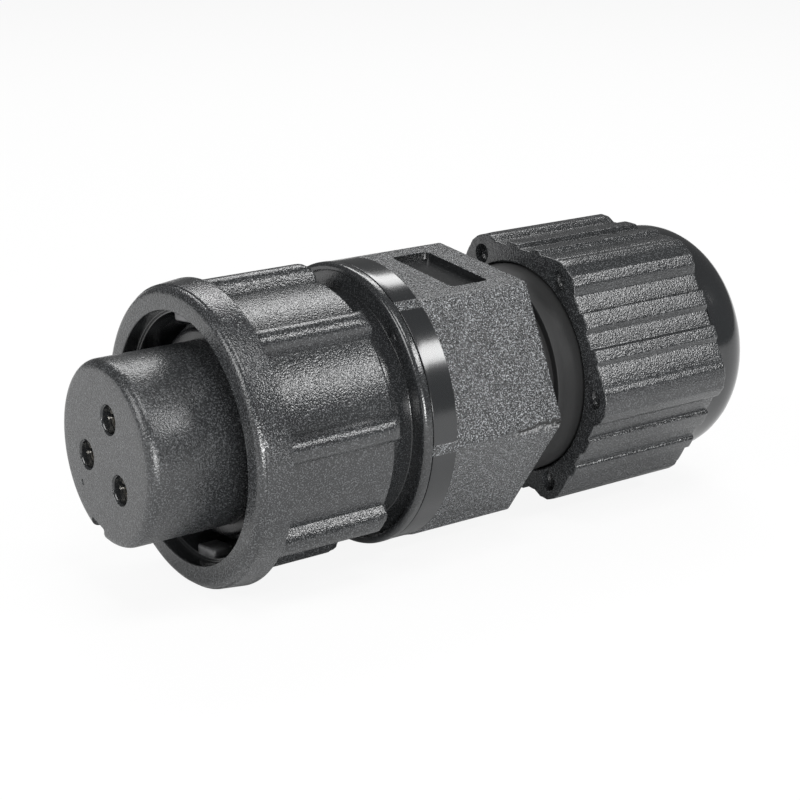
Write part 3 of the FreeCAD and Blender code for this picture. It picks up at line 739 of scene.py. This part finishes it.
def carve(piece, cutter):
    """Cuts one closed mesh out of another."""
    modifier = piece.modifiers.new("carve", "BOOLEAN")
    modifier.operation = "DIFFERENCE"
    modifier.solver = "EXACT"
    modifier.object = cutter
    settle(piece)
    bpy.data.objects.remove(cutter)


def dress(piece, body, material, stands_for=None):
    """Gives a piece its material and body, and hides the solid it stands for."""
    piece.data.materials.clear()
    piece.data.materials.append(material)
    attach(piece, body)
    if stands_for:
        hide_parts(stands_for)


def uneven(seed, size):
    """Repeatable run of numbers from -1 to 1, for interpolation round or along a piece."""
    return np.random.default_rng(seed).uniform(-1.0, 1.0, size)


def periodic(values, clocks):
    """Values spread evenly round the circle, read at clock angles."""
    places = np.mod(clocks, 360.0) / 360.0 * len(values)
    return np.interp(places, np.arange(len(values) + 1), np.append(values, values[0]))


def soft_least(first, second, softness):
    """The smaller of two, with a soft change between them."""
    gap = np.clip((first - second) / softness, -60, 60)
    return second - softness * np.log1p(np.exp(-gap))


def about(clock, middle, pitch):
    """Angle past the nearest of the clock angles that stand a pitch apart."""
    return np.mod(clock - middle + pitch / 2, pitch) - pitch / 2


# Repeats round the axis, made with Geometry Nodes

def ring_of_copies_tree():
    """Geometry Nodes tree that repeats an object round the socket's axis."""
    tree = bpy.data.node_groups.new("ring_of_copies", "GeometryNodeTree")
    nodes = Nodes(tree)
    tree.interface.new_socket("Geometry", in_out="OUTPUT", socket_type="NodeSocketGeometry")
    wanted = (("Piece", "NodeSocketObject"), ("Count", "NodeSocketInt"), ("First Clock", "NodeSocketFloat"),
              ("Axis Height", "NodeSocketFloat"), ("Material", "NodeSocketMaterial"))
    names = {}
    for label, kind in wanted:
        names[label] = tree.interface.new_socket(label, in_out="INPUT", socket_type=kind).identifier
    given = nodes.add("NodeGroupInput")
    turn = nodes.add("GeometryNodeInputIndex").value() * (2 * math.pi) / given.value("Count")
    turn = -(turn + given.value("First Clock"))
    middle = nodes.add("ShaderNodeCombineXYZ", {}, {"Z": given.value("Axis Height")}).socket()
    points = nodes.add("GeometryNodePoints", {}, {"Count": given.value("Count"), "Position": middle}).socket()
    pattern = nodes.add("GeometryNodeObjectInfo", {"transform_space": "ORIGINAL"},
                        {"Object": given.socket("Piece")})
    rotation = nodes.add("ShaderNodeCombineXYZ", {}, {"X": turn}).socket()
    copies = nodes.add("GeometryNodeInstanceOnPoints", {}, {
        "Points": points, "Instance": pattern.socket("Geometry"), "Rotation": rotation}).socket()
    real = nodes.add("GeometryNodeRealizeInstances", {}, {0: copies}).socket()
    dressed = nodes.add("GeometryNodeSetMaterial", {}, {
        "Geometry": real, "Material": given.socket("Material")}).socket()
    nodes.add("NodeGroupOutput", {}, {0: dressed})
    return tree, names


def ring_of_copies(name, pattern, count, first_clock, material=None):
    """One mesh of copies of a pattern, which is drawn about a level axis with clock angle 0 towards -Y."""
    tree, names = ring_of_copies_tree()
    piece = new_piece(name, np.zeros((0, 3)), [])
    modifier = piece.modifiers.new("repeat", "NODES")
    modifier.node_group = tree
    modifier[names["Piece"]] = pattern
    modifier[names["Count"]] = count
    modifier[names["First Clock"]] = math.radians(first_clock)
    modifier[names["Axis Height"]] = AXIS_Z
    if material is not None:
        modifier[names["Material"]] = material
    settle(piece)
    bpy.data.objects.remove(pattern)
    bpy.data.node_groups.remove(tree)
    return piece


def pattern_turned(name, outline, centre_r, steps=40):
    """Turned pattern piece whose own axis lies at a radius towards -Y from the socket's axis."""
    angles = np.arange(steps) * 2 * math.pi / steps
    points = []
    for station, radius in outline:
        for angle in angles:
            across = -centre_r - radius * math.cos(angle)
            points.append((RIM_X + station * MM, across * MM, radius * math.sin(angle) * MM))
    return closed_piece(name, np.array(points), tube_faces(len(outline), steps))


def block(name, low_x, high_x, half_width, low_r, high_r, bevel):
    """Pattern block that stands at clock angle 0, with rounded edges."""
    points = [(RIM_X + station * MM, -radius * MM, across * MM) for station in (low_x, high_x)
              for radius in (low_r, high_r) for across in (-half_width, half_width)]
    faces = [(0, 1, 3, 2), (4, 6, 7, 5), (0, 4, 5, 1), (2, 3, 7, 6), (0, 2, 6, 4), (1, 5, 7, 3)]
    piece = closed_piece(name, np.array(points), faces)
    modifier = piece.modifiers.new("round", "BEVEL")
    modifier.width = bevel * MM
    modifier.segments = 3
    modifier.limit_method = "NONE"
    settle(piece)
    return piece


# Coupling ring

def grip_radius(station, clock):
    """Radius of the grip: round ribs that blend into a cylinder and round off at the rear."""
    aside = np.radians(about(clock, RIB_CLOCK, 360.0 / RIB_COUNT))
    centre_r = RIB_TOP_R - RIB_ROUND
    reach = np.clip(RIB_ROUND ** 2 - (centre_r * np.sin(aside)) ** 2, 0, None)
    rib = centre_r * np.cos(aside) + np.sqrt(reach)
    rib = np.where(reach > 0, rib, centre_r * np.cos(aside) - 0.3 * np.abs(np.degrees(aside)))
    drop = np.clip((rib - GRIP_R) / RIB_BLEND, -50, 50)
    radius = GRIP_R + RIB_BLEND * np.log1p(np.exp(drop))
    past = np.clip(station - (RING_REAR - RIB_END_ROUND), 0, RIB_END_ROUND)
    end = RIB_TOP_R - RIB_END_ROUND + np.sqrt(RIB_END_ROUND ** 2 - past ** 2)
    return np.minimum(radius, end)


def ring_shape(station, radius, clock):
    """Gives the grip its ribs and the rim's front line a slightly uneven edge."""
    on_grip = (radius > POCKET_R + 0.5) & (station > RIM_LENGTH + 0.001)
    radius = np.where(on_grip, grip_radius(station, clock) + (radius - GRIP_R), radius)
    on_line = (np.abs(station) < 0.12) & (radius > GRIP_R)
    wobble = periodic(uneven(11, 240), clock) * RIM_WOBBLE
    return np.where(on_line, station + wobble, station), radius


def build_coupling_ring():
    front_r = RIM_R - RIM_DRAFT
    outline = rounded_outline([
        (-FACE_PROUD, MOUTH_R, 0.12), (-FACE_PROUD, front_r - 0.05, RIM_ROUND), (0.12, front_r - 0.02),
        (0.02, front_r - RIM_LINE), (0.10, front_r + 0.12, 0.06), (RIM_LENGTH, RIM_R, 0.12),
        (RIM_LENGTH, GRIP_R, 0.15), (RING_REAR, GRIP_R, 0.35), (RING_REAR, POCKET_R, 0.1),
        (WEB_REAR, POCKET_R), (WEB_REAR, WEB_BORE_R), (WEB_FRONT, WEB_BORE_R), (WEB_FRONT, RING_BORE_R),
        (MOUTH_END, RING_BORE_R, 0.14), (MOUTH_END, MOUTH_R, 0.1),
    ], sizes().step / MM)
    clocks = clock_steps(sizes().turns + RING_MORE_TURNS)
    piece = turned_piece("coupling_ring_shell", outline, clocks, ring_shape)
    material = nylon_material("ring_nylon", depth=0.06, rough=0.20, glint_specks=0.38,
                              gloss=ring_gloss, extra=ring_scuff)
    dress(smooth(piece), "ring", material, "coupling_ring")
    lug = block("bayonet_lug", MOUTH_END + 0.02, MOUTH_END + LUG_LENGTH, LUG_WIDTH / 2, LUG_TOP_R,
                RING_BORE_R + 0.3, LUG_EDGE)
    lug_material = nylon_material("lug_nylon", depth=0.01, rough=0.36, glint_specks=0.3, grain=3.0, extra=lug_grey_patches)
    lugs = ring_of_copies("bayonet_lugs", lug, 2, LUG_CLOCK, lug_material)
    dress(smooth(lugs, 40), "ring", lug_material)


# Insert and face seal

def build_insert():
    rear = station_of(INSERT_HIGH.x)
    rear_r = INSERT_R - 0.1
    outline = rounded_outline([
        (INSERT_FACE, INSERT_CORE_R), (INSERT_FACE, INSERT_R, INSERT_ROUND), (INSERT_FOOT, INSERT_R),
        (INSERT_FOOT, INSERT_FOOT_R), (INSERT_FLANGE, INSERT_FOOT_R), (INSERT_FLANGE, INSERT_FLANGE_R),
        (INSERT_SEAT, INSERT_FLANGE_R), (INSERT_SEAT, rear_r), (rear, rear_r), (rear, INSERT_CORE_R),
    ], 2 * sizes().step / MM, closed=False, bends=9)
    piece = turned_piece("insert_body", outline, clock_steps(INSERT_TURNS), closed=False)
    keyway = block("keyway", INSERT_FACE - 1, SEAL_FRONT - 0.05, KEYWAY_WIDTH / 2, INSERT_R - KEYWAY_DEPTH,
                   INSERT_R + 1, KEYWAY_EDGE)
    carve(piece, ring_of_copies("keyway_cut", keyway, 1, KEYWAY_CLOCK))
    chamfer = HOLE_MOUTH_R - HOLE_R
    hole = pattern_turned("hole", [
        (INSERT_FACE - 0.5, HOLE_MOUTH_R + 0.5), (INSERT_FACE, HOLE_MOUTH_R), (INSERT_FACE + chamfer, HOLE_R),
        (rear + 1, HOLE_R)], HOLE_PITCH_R)
    carve(piece, ring_of_copies("hole_cuts", hole, 3, HOLE_CLOCK))
    dot = pattern_turned("dot", [(INSERT_FACE - 0.3, 0.34), (INSERT_FACE + 0.07, 0.28)], INSERT_DOT_R,
                         steps=20)
    carve(piece, ring_of_copies("dot_cut", dot, 1, INSERT_DOT_CLOCK))
    material = nylon_material("insert_nylon", depth=0.055, rough=0.28, glint_specks=0.40, gloss=hole_gloss)
    dress(smooth(piece, 35), "root", material, "contact_carrier")


def build_face_seal():
    bore = INSERT_FOOT_R + 0.05
    outline = rounded_outline([
        (SEAL_FRONT, bore, 0.2), (SEAL_FRONT, SEAL_R, 0.45), (NOSE_FRONT, SEAL_R), (NOSE_FRONT, bore),
    ], sizes().step / MM)
    piece = turned_piece("seal_ring", outline, clock_steps(SEAL_TURNS))
    dress(smooth(piece), "root", rubber_material("seal_rubber"), "face_seal")


# Main body

def hexagon_radius(clock):
    """Radius of the hexagon, whose corners are turned off."""
    aside = np.radians(about(clock, HEX_CLOCK, SIDE))
    return soft_least(HEX_APOTHEM / np.cos(aside), HEX_CORNER_R, HEX_SOFT)


def from_groove(station, clock):
    """0 in the middle of the right-hand thread's groove and 1 on its crest."""
    phase = np.mod((station - THREAD_START) / THREAD_LEAD - clock / 360.0, 1.0)
    return np.abs(phase - 0.5) * 2


def thread_radius(station, clock, depth):
    """Radius of the neck's thread, which fades in behind a plain collar."""
    groove = np.clip((GROOVE_SHARE - from_groove(station, clock)) / GROOVE_SLOPE, 0, 1)
    fade = np.clip((station - THREAD_START) / 0.5, 0, 1) * np.clip((NECK_END - station) / 0.8, 0, 1)
    return NECK_R - depth * groove * fade


def chip_loss(station, clock):
    """Share of the chip's depth lost where the hexagon's lower front edge is broken near its rear."""
    aside = about(clock, CHIP_CLOCK, 360.0) / CHIP_ANGLE
    along = np.clip((station - CHIP_START) / 1.2, 0, 1)
    ragged = np.interp(station, np.linspace(CHIP_START, HEX_REAR, 30), uneven(5, 30))
    fine = np.interp(station * 3 + clock * 1.7, np.linspace(0, 130, 260), uneven(6, 260))
    near = np.clip(1 - (aside + 0.35 * ragged) ** 2, 0, 1)
    return near * along * np.clip(0.55 + 0.6 * ragged + 0.5 * fine, 0.0, 1.4)


def body_shape(station, radius, clock):
    """Gives the body its hexagon with the broken edge, and its neck the thread."""
    on_hex = (station > BAND_REAR + 0.01) & (station < HEX_REAR + 0.01) & (radius > NECK_R + 0.4)
    flat = hexagon_radius(clock) - chip_loss(station, clock) * sizes().chip_depth / MM
    flat = np.minimum(flat, BAND_R + np.clip(station - BAND_REAR, 0, None))
    radius = np.where(on_hex, flat + (radius - BAND_R), radius)
    on_thread = (station > THREAD_START + 0.2) & (radius > NECK_R - 0.1) & (radius < NECK_R + 0.1)
    return station, np.where(on_thread, thread_radius(station, clock, sizes().thread_depth / MM), radius)


def panel_cutter():
    """Rounded block for the sunk panel on the top flat, as a pattern at clock angle 0."""
    half = PANEL_WIDTH / 2
    corners = rounded_outline([
        (PANEL_FRONT, -half, PANEL_ROUND), (PANEL_REAR, -half, PANEL_ROUND),
        (PANEL_REAR, half, PANEL_ROUND), (PANEL_FRONT, half, PANEL_ROUND)], 20.0)
    count = len(corners)
    points = []
    for radius in (HEX_APOTHEM - PANEL_DEPTH, HEX_APOTHEM + 1.0):
        spread = 1.0 if radius < HEX_APOTHEM else 1.03
        for station, across in corners:
            middle = (PANEL_FRONT + PANEL_REAR) / 2
            row_x = RIM_X + (middle + (station - middle) * spread) * MM
            points.append((row_x, -radius * MM, across * spread * MM))
    return closed_piece("panel_block", np.array(points), tube_faces(2, count))


def build_main_body():
    face = FLANGE_FRONT + FLANGE_STEP
    outline = rounded_outline([
        (NOSE_FRONT, NOSE_BORE_R), (NOSE_FRONT, NOSE_R, 0.15), (COLLAR_FRONT, NOSE_R),
        (COLLAR_FRONT, COLLAR_R, 0.2), (face, COLLAR_R, 0.15), (face, FLANGE_LAND_R, 0.1),
        (FLANGE_FRONT, FLANGE_LAND_R, 0.12), (FLANGE_FRONT, FLANGE_R, 0.42), (FLANGE_REAR, FLANGE_R, 0.05),
        (FLANGE_REAR, BAND_FOOT_R), (BAND_FRONT, BAND_FOOT_R), (BAND_FRONT, BAND_R, 0.05),
        (BAND_REAR, BAND_R), (BAND_REAR + 0.03, BAND_R), (HEX_REAR, BAND_R, 0.18),
        (HEX_REAR, NECK_ROOT_R, 0.1), (THREAD_START, NECK_ROOT_R), (THREAD_START, NECK_R, 0.1),
        (NECK_END - 0.4, NECK_R), (NECK_END, NECK_ROOT_R), (NECK_END, GLAND_BORE_R),
        (STOP_REAR, GLAND_BORE_R), (STOP_REAR, STOP_R), (STOP_FRONT, STOP_R), (STOP_FRONT, BODY_BORE_R),
        (INSERT_SEAT, BODY_BORE_R), (INSERT_SEAT, NOSE_BORE_R),
    ], BODY_STEP)
    edges = [HEX_CLOCK + SIDE * (side + 0.5) for side in range(6)]
    clocks = clock_steps(sizes().turns, edges, spread=3.2)
    piece = turned_piece("body_moulding", outline, clocks, body_shape)
    carve(piece, ring_of_copies("panel_cut", panel_cutter(), 1, HEX_CLOCK))
    material = nylon_material("body_nylon", depth=0.12, rough=0.26, glint_specks=1.25, polish=0.17,
                              gloss=band_gloss, extra=body_shade_and_marks)
    dress(smooth(piece, 24), "root", material, "main_body")
    mark = pattern_turned("mark", [(face + 0.05, 0.42), (face - 0.05, 0.40), (face - 0.12, 0.3)],
                          EJECTOR_CIRCLE_R, steps=20)
    dot = ring_of_copies("ejector_mark", mark, 1, EJECTOR_CLOCK, material)
    dress(smooth(dot, 60), "root", material)


# Gland nut

def nut_outline():
    """Angles past a corner and radii of the grip's outline over one side of the hexagon."""
    def flat(angle):
        return NUT_APOTHEM / math.cos(math.radians(angle - SIDE / 2))

    side_end = EAR_START + SIDE
    outline = [(EAR_START, flat(side_end)), (-4.2, NUT_R - NUT_RIB), (-2.0, NUT_R - 0.12), (2.0, NUT_R),
               (7.0, NUT_R - 0.08), (11.0, NUT_R - NUT_RIB - 0.1), (EAR_END, flat(EAR_END))]
    for start, end in RIB_ANGLES:
        outline.append((start - RIB_RISE, flat(start - RIB_RISE)))
        outline.append((start, flat(start) + NUT_RIB))
        outline.append((end - RIB_FALL, flat(end - RIB_FALL) + NUT_RIB))
        outline.append((end, flat(end)))
    outline.append((side_end, flat(side_end)))
    return outline


def grip_outline_radius(clock):
    """Radius of the grip's outline at a clock angle, slightly blurred."""
    angles, radii = zip(*nut_outline())
    blurred = 0
    for offset, weight in ((-NUT_BLUR, 0.25), (0.0, 0.5), (NUT_BLUR, 0.25)):
        past = np.mod(NUT_CLOCK - clock + offset - EAR_START, SIDE) + EAR_START
        blurred = blurred + weight * np.interp(past, angles, radii)
    return blurred


def nut_shape(station, radius, clock):
    """Gives the nut its ribbed hexagonal grip, uneven front edge and inner thread."""
    on_grip = (radius > DOME_R + 0.6) & (station < GRIP_REAR + 0.01)
    radius = np.where(on_grip, grip_outline_radius(clock) + (radius - NUT_R), radius)
    near_front = np.clip(1 - (station - NUT_FRONT) / FLASH_LENGTH, 0, 1)
    ragged = periodic(uneven(21, 300), clock) * 0.3 + periodic(uneven(22, 110), clock) * 0.7
    outer = np.clip((radius - FLASH_FROM_R) / 1.4, 0, 1)
    amount = sizes().flash / MM * near_front * outer
    station = station + amount * (0.6 + ragged) * 0.5
    radius = np.where(on_grip, radius - amount * np.clip(ragged, 0, 1), radius)
    threaded = (np.abs(radius - NUT_BORE_R) < 0.02) & (station > NUT_FRONT + 0.6)
    threaded = threaded & (station < NUT_SHOULDER - 0.3)
    groove = np.clip((0.5 - from_groove(station, clock)) / 0.3, 0, 1) * NUT_GROOVE
    return station, np.where(threaded, radius + groove, radius)


def build_gland_nut():
    outline = rounded_outline([
        (NUT_FRONT, NUT_BORE_R, 0.25), (NUT_FRONT, NUT_R, 0.12), (GRIP_REAR - 0.12, NUT_R, 0.3),
        (GRIP_REAR, DOME_R + 0.62), (GRIP_REAR + 0.01, DOME_R, 0.08), (NUT_REAR, DOME_R, DOME_ROUND),
        (NUT_REAR, CABLE_R, 0.6), (CONE_END, CABLE_R), (CONE_END, CONE_R), (CONE_START, THROAT_R),
        (NUT_SHOULDER, THROAT_R), (NUT_SHOULDER, NUT_BORE_R),
    ], NUT_STEP, bends=9)
    edges = []
    for side in range(6):
        edges.extend(NUT_CLOCK - SIDE * side - past for past, radius in nut_outline())
    clocks = clock_steps(sizes().turns * NUT_TURNS, edges, spread=0.7)
    piece = turned_piece("nut_moulding", outline, clocks, nut_shape)
    dimple = pattern_turned("dimple", [
        (NUT_FRONT - 0.6, DIMPLE_R), (NUT_FRONT + DIMPLE_DEPTH - 0.2, DIMPLE_R),
        (NUT_FRONT + DIMPLE_DEPTH, DIMPLE_R - 0.2)], DIMPLE_CIRCLE_R, steps=24)
    carve(piece, ring_of_copies("dimple_cuts", dimple, 6, DIMPLE_CLOCK))
    material = nylon_material("nut_nylon", depth=0.06, rough=0.21, glint_specks=0.34, gloss=dome_gloss)
    dress(smooth(piece, 28), "nut", material, "gland_nut")


# Pieces that keep their solid's own mesh

def dress_solids():
    plated = metal_material("plated_brass", (0.80, 0.77, 0.70), 0.22)
    steel = metal_material("plated_steel", (0.60, 0.60, 0.60), 0.3)
    spring = metal_material("spring_steel", (0.52, 0.52, 0.53), 0.28)
    rubber = rubber_material("gland_rubber")
    smooth_nylon = nylon_material("inner_nylon", depth=0.01, rough=0.36, glint_specks=0.4, grain=3.4)
    wanted = {
        "socket_contact_1": plated, "socket_contact_2": plated, "socket_contact_3": plated,
        "terminal_screw_1": steel, "terminal_screw_2": steel, "terminal_screw_3": steel,
        "carrier_screw": steel, "ring_clip": spring, "wave_washer": spring,
        "core_o_ring": rubber, "gland_seal": rubber, "rear_insulator": smooth_nylon,
        "carrier_lock_ring": smooth_nylon, "clamping_cage": smooth_nylon, "slip_washer": smooth_nylon,
    }
    for node, material in wanted.items():
        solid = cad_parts[node]
        solid.data.materials.clear()
        solid.data.materials.append(material)


# Stage

def plain_material(name, colour, camera_share):
    """Pale surface that keeps shadows and looks near white to the camera."""
    shader = Shader(name)
    shader.set("Base Color", tinted(colour))
    shader.set("Roughness", 0.9)
    glow = shader.add("ShaderNodeEmission", {}, {"Color": WHITE, "Strength": 1.0}).socket()
    seen = shader.add("ShaderNodeLightPath").value("Is Camera Ray") * camera_share
    mix = shader.add("ShaderNodeMixShader", {}, {0: seen, 1: shader.surface.outputs[0], 2: glow}).socket()
    shader.feed(shader.tree.nodes["Material Output"].inputs["Surface"], mix)
    return shader.material


def build_floor():
    corners = ((-1, -1), (1, -1), (1, 1), (-1, 1))
    points = np.array([(x * FLOOR_HALF, y * FLOOR_HALF, 0) for x, y in corners])
    floor = new_piece("floor", points, [(0, 1, 2, 3)])
    floor.data.materials.append(plain_material("floor_paint", looks().floor, FLOOR_GLOW))


def build_world():
    """Even light from all round, which the camera sees as white."""
    world = bpy.data.worlds.new("white_room")
    world.use_nodes = True
    nodes = Nodes(world.node_tree)
    room = nodes.add("ShaderNodeBackground", {}, {"Color": WHITE, "Strength": looks().room}).socket()
    seen = nodes.add("ShaderNodeBackground", {}, {"Color": WHITE, "Strength": 1.0}).socket()
    camera = nodes.add("ShaderNodeLightPath").socket("Is Camera Ray")
    mix = nodes.add("ShaderNodeMixShader", {}, {0: camera, 1: room, 2: seen}).socket()
    nodes.feed(world.node_tree.nodes["World Output"].inputs["Surface"], mix)
    bpy.context.scene.world = world


def direction(azimuth, elevation):
    """Direction away from the part. Azimuth 0 is towards -Y."""
    level = math.cos(elevation)
    return Vector((math.sin(azimuth) * level, -math.cos(azimuth) * level, math.sin(elevation)))


def aim(holder, place, away):
    """Puts a lamp or camera at a place, from which it looks back along a direction."""
    holder.location = place
    holder.rotation_euler = (-away).to_track_quat("-Z", "Y").to_euler()


def build_lights():
    """Rectangular lamps that face the middle of the part."""
    middle = Vector((0.0, 0.0, AXIS_Z))
    for name, (azimuth, elevation, distance, width, height, watts) in SOFT_BOXES.items():
        lamp = bpy.data.lights.new(name, "AREA")
        lamp.shape = "RECTANGLE"
        lamp.size = width
        lamp.size_y = height
        lamp.energy = watts * looks().light
        away = direction(math.radians(azimuth), math.radians(elevation))
        aim(add_object(name, lamp), middle + away * distance, away)


def build_camera():
    camera = bpy.data.cameras.new("photo_camera")
    camera.sensor_width = SENSOR
    camera.lens = FOCAL_PIXELS / PHOTO_SIZE * SENSOR
    camera.clip_start = 0.01
    camera.clip_end = 10.0
    back = direction(CAMERA_AZIMUTH, CAMERA_ELEVATION)
    right = Vector((math.cos(CAMERA_AZIMUTH), math.sin(CAMERA_AZIMUTH), 0.0))
    up = back.cross(right)
    half = PHOTO_SIZE / 2
    distance = CAMERA_DISTANCE * MM
    aside = (RIM_PIXEL[0] - half) / FOCAL_PIXELS * distance
    above = (half - RIM_PIXEL[1]) / FOCAL_PIXELS * distance
    rim_centre = Vector((RIM_X, 0.0, AXIS_Z))
    holder = add_object("photo_camera", camera)
    aim(holder, rim_centre - right * aside - up * above + back * distance, back)
    bpy.context.scene.camera = holder


# Operators, panel and registration

class SOCKET_OT_coupling_ring(bpy.types.Operator):
    """Builds the coupling ring and its bayonet lugs"""
    bl_idname = "socket.coupling_ring"
    bl_label = "Coupling ring"

    def execute(self, context):
        build_coupling_ring()
        return {"FINISHED"}


class SOCKET_OT_insert(bpy.types.Operator):
    """Builds the contact insert and the seal round its foot"""
    bl_idname = "socket.insert"
    bl_label = "Insert and seal"

    def execute(self, context):
        build_insert()
        build_face_seal()
        return {"FINISHED"}


class SOCKET_OT_main_body(bpy.types.Operator):
    """Builds the flanged hexagonal body with its threaded neck"""
    bl_idname = "socket.main_body"
    bl_label = "Main body"

    def execute(self, context):
        build_main_body()
        return {"FINISHED"}


class SOCKET_OT_gland_nut(bpy.types.Operator):
    """Builds the ribbed gland nut"""
    bl_idname = "socket.gland_nut"
    bl_label = "Gland nut"

    def execute(self, context):
        build_gland_nut()
        return {"FINISHED"}


class SOCKET_OT_solids(bpy.types.Operator):
    """Gives the inner pieces their materials"""
    bl_idname = "socket.solids"
    bl_label = "Inner pieces"

    def execute(self, context):
        dress_solids()
        return {"FINISHED"}


class SOCKET_OT_stage(bpy.types.Operator):
    """Builds the floor, light and camera"""
    bl_idname = "socket.stage"
    bl_label = "Stage"

    def execute(self, context):
        build_floor()
        build_world()
        build_lights()
        build_camera()
        context.scene.view_settings.view_transform = "Standard"
        return {"FINISHED"}


class SOCKET_PT_panel(bpy.types.Panel):
    """Sidebar panel with the socket's settings and steps"""
    bl_idname = "SOCKET_PT_panel"
    bl_label = "Inline cable socket"
    bl_space_type = "VIEW_3D"
    bl_region_type = "UI"
    bl_category = "Socket"

    def draw(self, context):
        layout = self.layout
        for group in (context.scene.socket_sizes, context.scene.socket_looks):
            for key in group.__annotations__:
                layout.prop(group, key)
        for operator in OPERATORS:
            layout.operator(operator.bl_idname)


OPERATORS = (SOCKET_OT_stage, SOCKET_OT_coupling_ring, SOCKET_OT_insert, SOCKET_OT_main_body,
             SOCKET_OT_gland_nut, SOCKET_OT_solids)
CLASSES = (SocketSizes, SocketLooks, *OPERATORS, SOCKET_PT_panel)


def register():
    for kind in CLASSES:
        bpy.utils.register_class(kind)
    bpy.types.Scene.socket_sizes = PointerProperty(type=SocketSizes)
    bpy.types.Scene.socket_looks = PointerProperty(type=SocketLooks)


def unregister():
    del bpy.types.Scene.socket_looks
    del bpy.types.Scene.socket_sizes
    for kind in reversed(CLASSES):
        bpy.utils.unregister_class(kind)


def main():
    register()
    bpy.ops.socket.stage()
    bpy.ops.socket.coupling_ring()
    bpy.ops.socket.insert()
    bpy.ops.socket.main_body()
    bpy.ops.socket.gland_nut()
    bpy.ops.socket.solids()


if __name__ == "__main__":
    main()
